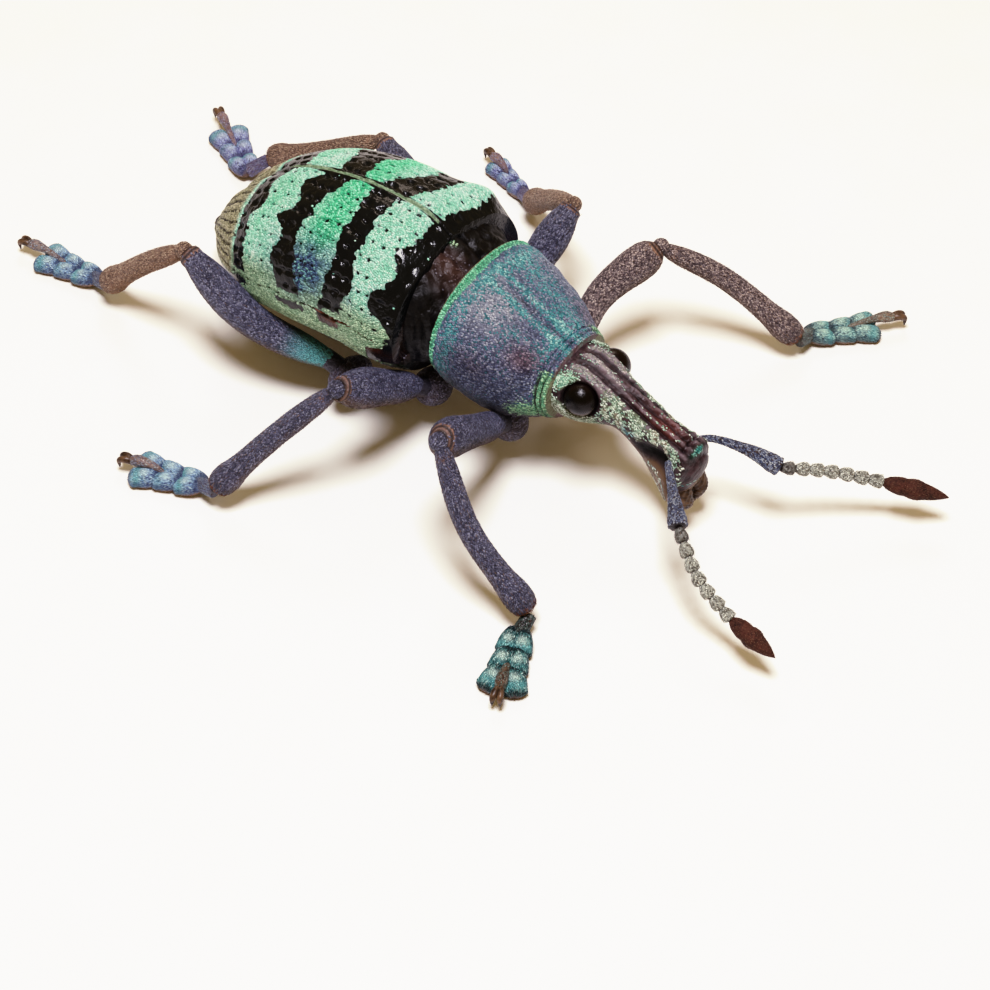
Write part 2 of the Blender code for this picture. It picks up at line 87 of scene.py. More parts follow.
def curve(stops, t):
    """The values at t, a number or an array, of a smooth line through stops of (position, value)."""
    at = np.array([stop[0] for stop in stops], float)
    value = np.array([stop[1] for stop in stops], float)
    slope = np.gradient(value, at, axis=0)
    t = np.asarray(t, float)
    k = np.clip(np.searchsorted(at, t) - 1, 0, len(at) - 2)
    span = at[k + 1] - at[k]
    u = (t - at[k]) / span
    if value.ndim > 1:
        span, u = span[..., None], u[..., None]
    start = (1 + 2 * u) * (1 - u) ** 2 * value[k] + u * (1 - u) ** 2 * span * slope[k]
    end = u * u * (3 - 2 * u) * value[k + 1] + u * u * (u - 1) * span * slope[k + 1]
    return start + end


def ease(low, high, value):
    """0 below low, 1 above high and smooth between them."""
    u = np.clip((np.asarray(value, float) - low) / (high - low), 0, 1)
    return u * u * (3 - 2 * u)


def bell(value, middle, width):
    """1 at the middle, falling to 0 within about twice the width."""
    return np.exp(-(((np.asarray(value, float) - middle) / width) ** 2))


def powered(value, power):
    """value raised to 2 / power, with its sign kept: the coordinate of a superellipse."""
    return np.sign(value) * np.abs(value) ** (2 / power)


def posed(points):
    """Points of the level body as they stand on the legs, in the row frame."""
    points = np.asarray(points, float)
    turned = points.copy()
    turned[..., 1] = points[..., 1] * cos(BODY_PITCH) - points[..., 2] * sin(BODY_PITCH)
    turned[..., 2] = points[..., 1] * sin(BODY_PITCH) + points[..., 2] * cos(BODY_PITCH) + BODY_LIFT
    return turned - CENTRE


def margin_height(t):
    """The height of the wing cases' lower edge, which rises to the rear end."""
    return -MARGIN_DEPTH + (MARGIN_DEPTH - ELYTRA_DROP - 0.35) * np.maximum(t, 0) ** 3


def relief(grid, height, wrap=True):
    """A grid of points raised along its normals by a height for each."""
    if wrap:
        ahead = np.roll(grid, -1, 1) - np.roll(grid, 1, 1)
    else:
        ahead = np.gradient(grid, axis=1)
    normal = np.cross(np.gradient(grid, axis=0), ahead)
    normal /= np.maximum(np.linalg.norm(normal, axis=-1, keepdims=True), 1e-9)
    outward = np.sign(((grid - grid.mean((0, 1))) * normal).sum())
    return grid + outward * normal * np.asarray(height)[..., None]


def points_mesh(name, points, marks):
    """A mesh of bare points, given in millimetres, that carries marks: a value by name for each point."""
    mesh = bpy.data.meshes.new(name)
    mesh.vertices.add(len(points))
    mesh.vertices.foreach_set("co", (points * MM).ravel())
    for mark, value in marks.items():
        kind, field = ("FLOAT", "value") if value.ndim == 1 else ("FLOAT_VECTOR", "vector")
        mesh.attributes.new(mark, kind, "POINT").data.foreach_set(field, value.ravel())
    return mesh


def linked(name, mesh):
    """A new object of a mesh, in the scene."""
    piece = bpy.data.objects.new(name, mesh)
    bpy.context.scene.collection.objects.link(piece)
    return piece


def declare(piece, slot, *nodes):
    """A finished piece rides on the beetle's one body and stands for the CAD nodes that are named. The
    slot is not used."""
    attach(piece, "root")
    if nodes:
        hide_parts(*nodes)


def faces_of(rows, columns):
    """Quads of a closed skin of rings, and triangles to its two end points, which follow the rings."""
    i = np.arange(rows - 1)[:, None] * columns
    j = np.arange(columns)[None, :]
    k = (j + 1) % columns
    quads = np.stack((i + j, i + k, i + columns + k, i + columns + j), -1).reshape(-1, 4)
    c, d = np.arange(columns), (np.arange(columns) + 1) % columns
    start, end, last = rows * columns, rows * columns + 1, (rows - 1) * columns
    ends = np.concatenate((np.stack((np.full(columns, start), d, c), -1),
                           np.stack((np.full(columns, end), last + c, last + d), -1)))
    return quads, ends


def skin(name, parts, material, slot, marks=None, nodes=()):
    """One piece made of closed skins. Each part is a (rings, points, 3) array in millimetres in the row
    frame, and marks holds, by name, an array of values for each part's points. It stands for the CAD node
    of its own name, or for those that are given."""
    points, quads, ends, values = [], [], [], {mark: [] for mark in marks or {}}
    for index, rings in enumerate(parts):
        first = sum(len(some) for some in points)
        flat = np.concatenate((rings.reshape(-1, 3), [rings[0].mean(0), rings[-1].mean(0)]))
        own_quads, own_ends = faces_of(*rings.shape[:2])
        a, b, c, d = (flat[own_quads[:, corner]] for corner in range(4))
        if (np.cross(a, b) * c).sum() + (np.cross(a, c) * d).sum() < 0:  # They face inwards
            own_quads, own_ends = own_quads[:, ::-1], own_ends[:, ::-1]
        quads.append(own_quads + first)
        ends.append(own_ends + first)
        points.append(flat)
        for mark in values:
            value = np.broadcast_to(np.asarray(marks[mark][index], float), rings.shape[:2])
            values[mark].append(np.concatenate((value.reshape(-1), [value[0].mean(), value[-1].mean()])))
    values = {mark: np.concatenate(value) for mark, value in values.items()}
    mesh = points_mesh(name, np.concatenate(points), values)
    quads, ends = np.concatenate(quads), np.concatenate(ends)
    mesh.loops.add(quads.size + ends.size)
    mesh.loops.foreach_set("vertex_index", np.concatenate((quads.ravel(), ends.ravel())))
    mesh.polygons.add(len(quads) + len(ends))
    starts = np.concatenate((4 * np.arange(len(quads)), quads.size + 3 * np.arange(len(ends))))
    mesh.polygons.foreach_set("loop_start", starts)
    mesh.update(calc_edges=True)
    mesh.shade_smooth()
    mesh.materials.append(material)
    declare(linked(name, mesh), slot, *(nodes or (name,)))


def solid(name, points, triangles):
    """The shape that a coat repeats, about one unit in size. It is kept out of the scene, and each of its
    points keeps its own place in it as a mark."""
    mesh = bpy.data.meshes.new(name)
    mesh.from_pydata(points, [], triangles, shade_flat=False)
    mesh.attributes.new("own_place", "FLOAT_VECTOR", "POINT").data.foreach_set("vector", np.ravel(points))
    return bpy.data.objects.new(name, mesh)


# A scale is a small domed lens with five corners, and a hair a thin three-sided spike. Both point along
# X. Real scales are 0.05 to 0.1 mm long, and these are drawn about twice as coarse, so that they show.
SCALE = solid("scale",
              [(cos(tau * i / 5), sin(tau * i / 5), 0) for i in range(5)] + [(0, 0, 1), (0, 0, -0.6)],
              [(i, (i + 1) % 5, 5) for i in range(5)] + [((i + 1) % 5, i, 6) for i in range(5)])
HAIR = solid("hair", [(0, cos(tau * i / 3), sin(tau * i / 3)) for i in range(3)] + [(1, 0, 0)],
             [(0, 1, 3), (1, 2, 3), (2, 0, 3), (2, 1, 0)])


def colour(hexadecimal):
    """A linear colour from an sRGB one such as 8fd6b0."""
    parts = [int(hexadecimal[i : i + 2], 16) / 255 for i in (0, 2, 4)]
    return (*[part / 12.92 if part <= 0.04045 else ((part + 0.055) / 1.055) ** 2.4 for part in parts], 1.0)


def add(tree, kind, inputs=None, family="ShaderNode", stops=(), **settings):
    """Adds a node with its settings and colour stops to a tree, and sets or links its inputs."""
    node = tree.nodes.new(family + kind)
    for key, value in settings.items():
        setattr(node, key, value)
    for index, (place, hexadecimal) in enumerate(stops):
        elements = node.color_ramp.elements
        element = elements[index] if index < len(elements) else elements.new(1.0)
        element.position, element.color = place, colour(hexadecimal)
    for key, value in (inputs or {}).items():
        if isinstance(value, bpy.types.NodeSocket):
            tree.links.new(value, node.inputs[key])
        else:
            node.inputs[key].default_value = value
    return node


COAT_INPUTS = {"Solid": "Object", "Half length": "Float", "Half width": "Float", "Thickness": "Float",
               "Material": "Material"}
POINT_MARKS = ("up", "ahead", "growth", "unwrapped")
MAP_SPREAD = 0.0015  # Of one scale on its bake map


def coat_tree():
    """Geometry nodes that stand a solid at each point of a mesh, turned and sized by the point's marks. They
    lay out its bake map, and what would sink into the floor rests on it."""
    tree = bpy.data.node_groups.new("coat", "GeometryNodeTree")
    tree.interface.new_socket("Points", in_out="INPUT", socket_type="NodeSocketGeometry")
    for socket, kind in COAT_INPUTS.items():
        tree.interface.new_socket(socket, in_out="INPUT", socket_type="NodeSocket" + kind)
    tree.interface.new_socket("Coat", in_out="OUTPUT", socket_type="NodeSocketGeometry")
    given = add(tree, "GroupInput", family="Node").outputs

    def geometry(kind, inputs=None, **settings):
        return add(tree, kind, inputs, "GeometryNode", **settings).outputs[0]

    def mark(name):
        return geometry("InputNamedAttribute", {"Name": name}, data_type="FLOAT_VECTOR")

    def vectors(operation, first, second):
        return add(tree, "VectorMath", {0: first, 1: second}, operation=operation).outputs[0]

    turned = add(tree, "AxesToRotation", {"Primary Axis": mark("up"), "Secondary Axis": mark("ahead")},
                 "FunctionNode", primary_axis="Z", secondary_axis="X").outputs[0]
    size = {"X": given["Half length"], "Y": given["Half width"], "Z": given["Thickness"]}
    sized = vectors("MULTIPLY", add(tree, "CombineXYZ", size).outputs[0], mark("growth"))
    shape = add(tree, "ObjectInfo", {"Object": given["Solid"]}, "GeometryNode").outputs["Geometry"]
    coat = geometry("InstanceOnPoints", {"Points": given["Points"], "Instance": shape, "Rotation": turned,
                                         "Scale": sized})
    coat = geometry("RealizeInstances", {"Geometry": coat})
    rested = vectors("MAXIMUM", geometry("InputPosition"), (-1, -1, 0))
    coat = geometry("SetPosition", {"Geometry": coat, "Position": rested})
    spread = vectors("MULTIPLY", mark("own_place"), (MAP_SPREAD, MAP_SPREAD, 0))
    on_map = vectors("ADD", mark("unwrapped"), spread)
    coat = geometry("StoreNamedAttribute", {"Geometry": coat, "Name": "OFBake", "Value": on_map},
                    data_type="FLOAT2", domain="CORNER")
    for name in (*POINT_MARKS, "own_place"):
        coat = geometry("RemoveAttribute", {"Geometry": coat, "Name": name})
    coat = geometry("SetMaterial", {"Geometry": coat, "Material": given["Material"]})
    add(tree, "GroupOutput", {"Coat": coat}, "Node")
    return tree


COAT_TREE = coat_tree()
ROW_START, ROW_STEP, SHAKE = 0.4, 0.82, 0.3  # Of the rows of scales, as shares of the spacing in a row
RISE_SCATTER, GROWTH = 0.06, (0.8, 1.2)


def places_on(rings, spacing, draw):
    """Evenly spread, slightly shaken places on a grid of rings, as fractional rows and columns."""
    rows, columns = rings.shape[:2]
    travelled = np.concatenate(([0], np.cumsum(np.linalg.norm(np.diff(rings, axis=0), axis=-1).mean(1))))
    row_at, column_at = [], []
    for index, distance in enumerate(np.arange(ROW_START * spacing, travelled[-1], ROW_STEP * spacing)):
        row = float(np.interp(distance, travelled, np.arange(rows)))
        low = min(int(row), rows - 2)
        ring = rings[low] + (row - low) * (rings[low + 1] - rings[low])
        steps = np.linalg.norm(np.diff(ring[np.r_[:columns, 0]], axis=0), axis=-1)
        around = np.concatenate(([0], np.cumsum(steps)))
        count = max(int(around[-1] / spacing), 3)
        where = (np.arange(count) + 0.5 * (index % 2) + draw.uniform(-SHAKE, SHAKE, count)) / count % 1
        column_at.append(np.interp(where * around[-1], around, np.arange(columns + 1)) % columns)
        shaken = row + draw.uniform(-SHAKE, SHAKE, count) * spacing * rows / travelled[-1]
        row_at.append(np.clip(shaken, 0, rows - 1.001))
    return np.concatenate(row_at), np.concatenate(column_at)


def coat(name, parts, marks, grows, material, slot, shape, size, spacing, lift, seed=1, scatter=0.35):
    """Solid scales or hairs over closed skins, lying along them from their first ring to their last. size
    is half length, half width and thickness in millimetres, lift the angle they rise by, and scatter how
    far they turn aside. grows takes the marks at all places and a random number for each, and says which
    grow."""
    draw = np.random.default_rng(seed)
    points, carried = [], {mark: [] for mark in (*marks, "chance", *POINT_MARKS)}
    for index, rings in enumerate(parts):
        rows, columns = rings.shape[:2]
        row, column = places_on(rings, spacing, draw)
        r, c = row.astype(int), column.astype(int)
        u, v = row - r, column - c
        corners = ((r, c, (1 - u) * (1 - v)), (r + 1, c, u * (1 - v)), (r, (c + 1) % columns, (1 - u) * v),
                   (r + 1, (c + 1) % columns, u * v))
        at = {}
        for mark in marks:
            grid = np.broadcast_to(np.asarray(marks[mark][index], float), (rows, columns))
            at[mark] = sum(grid[i, j] * weight for i, j, weight in corners)
        grown = grows(at, draw.random(len(row)))
        root = sum(rings[i, j] * weight[:, None] for i, j, weight in corners)[grown]
        r, c = r[grown], c[grown]
        ahead = rings[r + 1, c] - rings[r, c]
        across = rings[r, (c + 1) % columns] - rings[r, c - 1]
        ahead /= np.maximum(np.linalg.norm(ahead, axis=1, keepdims=True), 1e-9)
        up = np.cross(ahead, across)
        up /= np.maximum(np.linalg.norm(up, axis=1, keepdims=True), 1e-9)
        up *= np.sign(((root - rings[r].mean(1)) * up).sum(1))[:, None]
        turn = draw.normal(0, scatter, len(root))[:, None]
        rise = (lift + draw.normal(0, RISE_SCATTER, len(root)))[:, None]
        ahead = np.cos(turn) * ahead + np.sin(turn) * np.cross(up, ahead)
        ahead, up = np.cos(rise) * ahead + np.sin(rise) * up, np.cos(rise) * up - np.sin(rise) * ahead
        growth = draw.uniform(*GROWTH, len(root))
        at = {mark: value[grown] for mark, value in at.items()}
        at["chance"] = draw.random(len(row))[grown]
        at["up"], at["ahead"] = up, ahead
        at["growth"] = np.stack((growth, growth, np.ones(len(root))), -1)
        at["unwrapped"] = np.stack(((index + column / columns) / len(parts), row / rows, 0 * row), -1)[grown]
        points.append(root + up * size[2] / 2)
        for mark, value in at.items():
            carried[mark].append(value)
    carried = {mark: np.concatenate(value) for mark, value in carried.items()}
    piece = linked(name, points_mesh(name, np.concatenate(points), carried))
    nodes = piece.modifiers.new("coat", "NODES")
    nodes.node_group = COAT_TREE
    given = dict(zip(COAT_INPUTS, (shape, *(length * MM for length in size), material)))
    for socket in COAT_TREE.interface.items_tree:
        if socket.name in given:
            nodes[socket.identifier] = given[socket.name]
    evaluated = piece.evaluated_get(bpy.context.evaluated_depsgraph_get())
    mesh = bpy.data.meshes.new_from_object(evaluated)
    mesh.materials.pop(index=0)  # The nodes leave an empty slot before the coat's own
    piece.modifiers.remove(nodes)
    piece.data = mesh
    declare(piece, slot)


def clad(name, parts, marks, materials, slot, grows, scales, seed=1, nodes=()):
    """A skin and the coat of scales that grows on it, of a shell material and a scale material."""
    skin(name, parts, materials[0], slot, marks, nodes)
    coat(f"scales_{name}", parts, marks, grows, materials[1], slot, SCALE, **scales, seed=seed)


def new_material(name, **constants):
    """A material with its Principled shader's constants set. Returns it, its tree and the shader."""
    material = bpy.data.materials.new(name)
    material.use_nodes = True
    shader = material.node_tree.nodes["Principled BSDF"]
    for key, value in constants.items():
        shader.inputs[key.replace("_", " ")].default_value = value
    return material, material.node_tree, shader


def masked(tree, mask, strength=1.0):
    """A mask times a strength. The mask is a pattern, a number or, by its name, a mark of the mesh."""
    if isinstance(mask, str):
        mask = add(tree, "Attribute", attribute_name=mask, attribute_type="GEOMETRY").outputs["Fac"]
    if strength != 1:
        mask = add(tree, "Math", {0: mask, 1: strength}, operation="MULTIPLY").outputs[0]
    return mask


def summed(tree, mask, strength, rest):
    """A mask times a strength, added to another mask."""
    inputs = {0: masked(tree, mask), 1: strength, 2: masked(tree, rest)}
    return add(tree, "Math", inputs, operation="MULTIPLY_ADD").outputs[0]


def step(tree, mask, low, high):
    """0 where a mask is below low, and 1 where it is above high."""
    inputs = {"Value": masked(tree, mask), "From Min": low, "From Max": high}
    return add(tree, "MapRange", inputs, interpolation_type="SMOOTHSTEP").outputs["Result"]


def tones(tree, chance, *hexadecimals):
    """A colour picked from a row of them by a number from 0 to 1."""
    stops = [(index / (len(hexadecimals) - 1), tone) for index, tone in enumerate(hexadecimals)]
    return add(tree, "ValToRGB", {"Fac": chance}, stops=stops).outputs[0]


def paint(tree, base, *layers):
    """The base colour with layers laid over it in turn, each (mask, colour) or (mask, strength, colour)."""
    for mask, *strength, top in layers:
        base, top = (colour(tone) if isinstance(tone, str) else tone for tone in (base, top))
        inputs = {0: masked(tree, mask, *strength), 6: base, 7: top}
        base = add(tree, "Mix", inputs, data_type="RGBA").outputs[2]
    return base


def speckle(tree, size, detail=3.0, offset=0.0):
    """Soft noise from 0 to 1 with grains of a size in millimetres."""
    place = add(tree, "TexCoord").outputs["Object"]
    moved = add(tree, "Mapping", {"Vector": place, "Location": (offset, offset, 0)}).outputs["Vector"]
    noise = add(tree, "TexNoise", {"Vector": moved, "Scale": 1 / (size * MM), "Detail": detail})
    return step(tree, noise.outputs["Fac"], 0.3, 0.7)


def cells(tree, size):
    """Small scales side by side: a random value for each, and its height, which falls to its rim."""
    place = add(tree, "TexCoord").outputs["Object"]
    whole = add(tree, "TexVoronoi", {"Vector": place, "Scale": 1 / (size * MM)})
    rim = add(tree, "TexVoronoi", {"Vector": place, "Scale": 1 / (size * MM)}, feature="DISTANCE_TO_EDGE")
    chance = add(tree, "SeparateColor", {"Color": whole.outputs["Color"]}).outputs[0]
    return chance, step(tree, rim.outputs["Distance"], 0.0, 0.28)


def raised(tree, height, depth, strength=1.0):
    """The slopes of a surface raised by a height from 0 to 1 that is depth millimetres high."""
    inputs = {"Height": height, "Distance": depth * MM, "Strength": strength}
    return add(tree, "Bump", inputs).outputs["Normal"]


def feed(tree, shader, **patterns):
    """Links each pattern to the shader's input of its name."""
    for key, pattern in patterns.items():
        tree.links.new(pattern, shader.inputs[key.replace("_", " ")])


def band_colour(tree, chance):
    """The green of the bands, from pale mint to emerald, slate, olive and tan where these are marked."""
    clouds = speckle(tree, 0.9, 4.0)
    mint = tones(tree, chance, "8cd0be", "a6dfd0", "bcebe0", "d0f3ea", "e6fbf6")
    emerald = tones(tree, chance, "2ca474", "4ccc98", "7ee4ba", "b0f2da")
    slate = tones(tree, chance, "161c30", "2e3e60", "547496", "80bab2")
    olive = tones(tree, chance, "6a8464", "8fa985", "bcd4b2")
    tan = tones(tree, chance, "5e5638", "8f8862", "beba94")
    return paint(tree, mint, (clouds, 0.36, emerald), ("emerald", emerald), ("flank", olive),
                 ("slate", slate),
                 ("apex", tan))


def wing_case_material():
    """Hard beetle shell, or chitin, with a polished outer skin: black and glossy, with a small glint beside
    each pit. Under the bands it is the bands' green darkened as painted shade: a dull dark green, so that
    the gaps between scales look shaded and don't show black."""
    material, tree, shader = new_material("wing_case_shell", Specular_IOR_Level=0.36)
    chance, rise = cells(tree, 0.1)
    fine = speckle(tree, 0.35, 3.0, 0.01)
    scaled = step(tree, summed(tree, fine, 0.14, "green"), 0.05, 0.09)
    scaled = masked(tree, scaled, step(tree, "pit", 0.75, 0.5))
    # The bed under the scales is the bands' green darkened as painted shade between the scales
    bed = paint(tree, band_colour(tree, chance), (0.45, "122018"), ("stria", "241a12"))
    bare = paint(tree, "060b0d", (fine, 0.2, "16171a"), ("edging", "7a4222"))
    feed(tree, shader, Base_Color=paint(tree, bare, (scaled, bed)), Roughness=summed(tree, scaled, 0.3, 0.22),
         Normal=raised(tree, summed(tree, rise, masked(tree, scaled, 0.5), fine), 0.02))
    return material


def wing_scale_material():
    """Thin plates of chitin that shine by the fine layers inside them: pearly, each one its own green."""
    material, tree, shader = new_material("pearly_wing_scales", Specular_IOR_Level=0.55, Metallic=0.2,
                                          Roughness=0.36)
    feed(tree, shader, Base_Color=band_colour(tree, masked(tree, "chance")))
    return material


def make_wing_case(name, materials, rows=340, columns=150):
    """One wing case: its dome with pits, the edge tucked under, and a flat underside."""
    side = SIDES[name]
    t = (1 - np.cos(pi * np.arange(rows + 1) / rows)) / 2
    s = np.arange(columns) / (columns - 1)
    half = ELYTRA_HALF_WIDTH * curve(WIDTH_LINE, t)
    seam = ELYTRA_DROP * curve(SEAM_LINE, t)
    margin = margin_height(t)
    waist = margin + WAIST_RISE * (seam - margin)
    angle = pi / 2 * (1 - s)
    x = np.maximum(half[:, None] * powered(np.cos(angle), DOME_POWER), SEAM_GAP)
    z = waist[:, None] + powered(np.sin(angle), DOME_POWER) * (seam - waist)[:, None]
    y = np.broadcast_to((ELYTRA_LENGTH * t)[:, None], x.shape)
    dome = np.stack((side * x, y, z), -1)
    tt, ss = np.broadcast_to(t[:, None], x.shape), np.broadcast_to(s[None, :], x.shape)
    seam_away = x - SEAM_GAP

    # The bands, as millimetres inside their slightly wavy edges
    green = np.full(x.shape, -9.0)
    wander = 0.0045 * np.sin(23 * ss + 31 * tt) + 0.003 * np.sin(61 * ss - 17 * tt)
    wander = wander + 0.002 * np.sin(113 * ss + 9)
    for front, rear in BANDS[name]:
        inside = np.minimum(tt + wander - curve(front, s), curve(rear, s) - tt - wander) * ELYTRA_LENGTH
        green = np.maximum(green, inside)
    apex = (tt - curve(APEX_BAND, s)) * ELYTRA_LENGTH
    green = np.maximum(green, apex)
    # A pale strip follows the margin, broken by dark gaps and a rusty line
    gaps = ease(0.3, 0.9, np.sin(37 * tt + 1) * np.sin(13 * tt + 2))
    strip = 0.2 - 5 * np.abs(ss - 0.935) - 0.25 * gaps
    green = np.maximum(green, strip - 3 * ease(0.16, 0.1, tt))
    green = np.where(tt > 0.03, green - 0.8 * bell(seam_away, 0.12, 0.05), green)
    wavy = 0.95 + 0.008 * np.sin(37 * tt)
    rusty = 0.8 * bell(ss, wavy, 0.008) * ease(0.36, 0.26, tt) * ease(0.03, 0.08, tt)
    green -= 1.6 * rusty
    # So does a thin one along the seam
    on_seam = 0.12 - 2.4 * seam_away - 4 * ease(0.62, 0.66, tt) - 4 * ease(0.045, 0.03, tt)
    green = np.maximum(green, on_seam)
    # Slate patches on the right flank, and the deeper green of the middle and rear bands
    cloud = 0.5 + 0.5 * np.sin(41 * ss + 33 * tt) * np.sin(57 * tt - 23 * ss + 1)
    slate = (0.9 + 0.6 * cloud) * bell(tt, 0.34, 0.12) * bell(ss, 0.68, 0.19)
    slate += 0.9 * cloud * bell(tt, 0.37, 0.04) * bell(ss, 0.8, 0.1)
    slate += 0.4 * cloud * bell(tt, 0.15, 0.03) * bell(ss, 0.72, 0.1)
    slate = (slate + 0.5 * bell(tt, 0.07, 0.02) * bell(ss, 0.66, 0.08)) * (side < 0)
    emerald = 1.2 * bell(tt, 0.32, 0.07) * ease(0.65, 0.4, ss)
    emerald = emerald + 0.5 * bell(tt, 0.56, 0.05) * bell(ss, 0.3, 0.2)

    # Pits along ten rows, each row a little wavy, and each pit a little off its place and wider on bare shell
    draw = np.random.default_rng(PIT_SEEDS[name])
    count = int(1 / PIT_STEP) + 2
    shift = draw.uniform(-0.25, 0.25, (PIT_ROWS + 1, count)) * PIT_STEP
    size = draw.uniform(0.7, 1.3, (PIT_ROWS + 1, count))
    arc = np.linalg.norm(np.diff(dome, axis=1), axis=-1).sum(1)
    wave = 0.007 * np.sin(40 * tt + 9 * ss) + 0.004 * np.sin(83 * tt)
    row = np.clip(np.round((ss + wave) * PIT_ROWS - 0.5), 0, PIT_ROWS).astype(int)
    place = tt / PIT_STEP + 0.5 * (row % 2)
    nearest = np.clip(np.round(place), 0, count - 1).astype(int)
    away_t = (place - nearest) * PIT_STEP - shift[row, nearest]
    away_s = (ss + wave) - (row + 0.5) / PIT_ROWS
    distance = np.hypot(away_t * ELYTRA_LENGTH * 0.75, away_s * arc[:, None])
    bare = ease(0.1, -0.1, green)
    reach = PIT_RADIUS * (0.75 + 0.65 * bare) * size[row, nearest] * np.minimum(1, arc / 5)[:, None]
    # The shoulder is a smooth bulge without pits
    shoulder = bell(tt, 0.06, 0.05) * bell(ss, 0.52, 0.12)
    pit = ease(1.5, 0.4, distance / np.maximum(reach, 1e-6))
    pit = pit * ease(0.0, 0.03, tt) * ease(1.0, 0.97, ss) * ease(0.6, 0.3, shoulder)
    groove = bell(np.abs(away_s) * arc[:, None], 0, 0.09) * ease(0.03, 0.1, tt)
    height = -PIT_DEPTH * pit * (1 + 0.6 * bare) - (0.02 + 0.05 * ease(0, 1, apex)) * groove
    height += 0.04 * bell(seam_away, 0.1, 0.1) + 0.02 * np.sin(26 * tt + 5 * ss) * np.sin(17 * ss + 2 * tt)
    height += 0.32 * shoulder - 0.1 * bell(tt, 0.1, 0.04) * bell(ss, 0.33, 0.08)
    sunken = 0.3 * ease(0.6, 0.75, tt) * ease(1.0, 0.92, tt) * ease(0.9, 0.0, seam_away)
    dome = relief(dome, np.where(seam_away < 0.02, 0, height), wrap=False)
    dome[..., 2] -= sunken
    dome[..., 0] = side * np.maximum(side * dome[..., 0], SEAM_GAP)

    # The edge turns under, and a flat lid closes the shell
    under = []
    for share, drop in ((1.005, 0.6), (0.985, 0.2), (TUCK, 0.0), (TUCK - 0.08, 0.05), (0.5, 0.05),
                        (0.1, 0.05)):
        edge = np.maximum(half * share, SEAM_GAP)
        under.append(np.stack((side * edge, ELYTRA_LENGTH * t, margin + drop * (waist - margin)), -1))
    under.append(np.stack((side * SEAM_GAP + 0 * t, ELYTRA_LENGTH * t, margin), -1))
    rings = posed(np.concatenate((dome, np.stack(under, 1)), 1))

    # Each mark's value on the dome and under it
    marks = {
        "green": (green, np.where((t > 0.08) & (t < 0.62), 0.2, -1.0)[:, None]),
        "pit": (pit, 0.0),
        "slate": (slate, 0.0),
        "emerald": (np.clip(emerald, 0, 1), 0.0),
        "flank": (np.maximum(0.85 * ease(0.66, 0.86, ss), ease(0.1, 0.06, seam_away)), 0.9),
        "apex": (0.95 * ease(0.0, 0.5, apex), 0.0),
        "stria": (groove * (0.3 + 0.6 * ease(0, 1, apex)), 0.0),
        "seam": (ease(0.16, 0.04, seam_away), 0.0),
        "edging": (np.maximum(rusty, 0.8 * bell(ss, 0.99, 0.015) * ease(0.35, 0.1, tt) * ease(0.02, 0.05, tt)),
                   0.1),
    }
    marks = {mark: [np.concatenate((above, np.broadcast_to(beneath, (rows + 1, len(under)))), 1)]
             for mark, (above, beneath) in marks.items()}

    def grows(at, chance):
        in_band = (at["green"] + 0.12 * (chance - 0.5) > 0.06) & (at["seam"] < 0.25 * chance)
        level = (at["pit"] < 0.35 + 0.3 * chance) & (at["stria"] < 0.4 + 0.5 * chance)
        stray = (chance < 0.001) & (at["green"] > -1)
        return in_band & level | stray

    clad(f"elytron_{name}", [rings], marks, materials, "elytra", grows, WING_SCALES, seed=3 + side)


wing_case = wing_case_material(), wing_scale_material()
for side_name in SIDES:
    make_wing_case(side_name, wing_case)


# Thorax shield, or pronotum. A hard, grainy collar covered in blue-grey, lavender and turquoise scales,
# with a groove along its middle, a bright green hind rim and a yellow-green front collar.

PROTHORAX_HALF_WIDTH, THORAX_WAIST, THORAX_POWERS = 3.9, 0.54, (2.15, 1.75)
PRONOTUM_SCALES = {"size": (0.068, 0.048, 0.014), "spacing": 0.104, "lift": 0.14}
COLLAR_LINE = ((0, 0.955), (0.06, 1.0), (0.2, 1.0), (0.45, 0.95), (0.7, 0.82), (0.86, 0.67), (0.91, 0.61),
               (0.95, 0.615), (1, 0.575))
THORAX_TOP = ((0, (-1.5, -1.28)), (0.2, (-2.6, -1.72)), (0.75, (-5.4, -3.2)), (1, (-6.7, -3.78)))
THORAX_BOTTOM = ((0, (-1.35, -7.2)), (0.5, (-3.9, -8.2)), (1, (-6.55, -7.6)))


def body_rings(top, bottom, half_width, waist, powers, columns):
    """Sections between lines of top and bottom (y, z) points, widest at the waist's share of their height,
    with a superellipse's power for their upper and lower halves. Returns them and the angle round each from
    the top, positive to the beetle's left."""
    middle = bottom + (top - bottom) * waist
    angle = tau * np.arange(columns) / columns
    power = np.where(np.cos(angle) >= 0, *powers) * np.ones((len(top), 1))
    x = half_width[:, None] * powered(np.sin(angle), power)
    rise = powered(np.cos(angle), power)[..., None]
    reach = np.where(rise >= 0, (top - middle)[:, None, :], (middle - bottom)[:, None, :])
    yz = middle[:, None, :] + rise * reach
    around = (angle + pi) % tau - pi
    return np.concatenate((x[..., None], yz), -1), np.broadcast_to(around, x.shape)


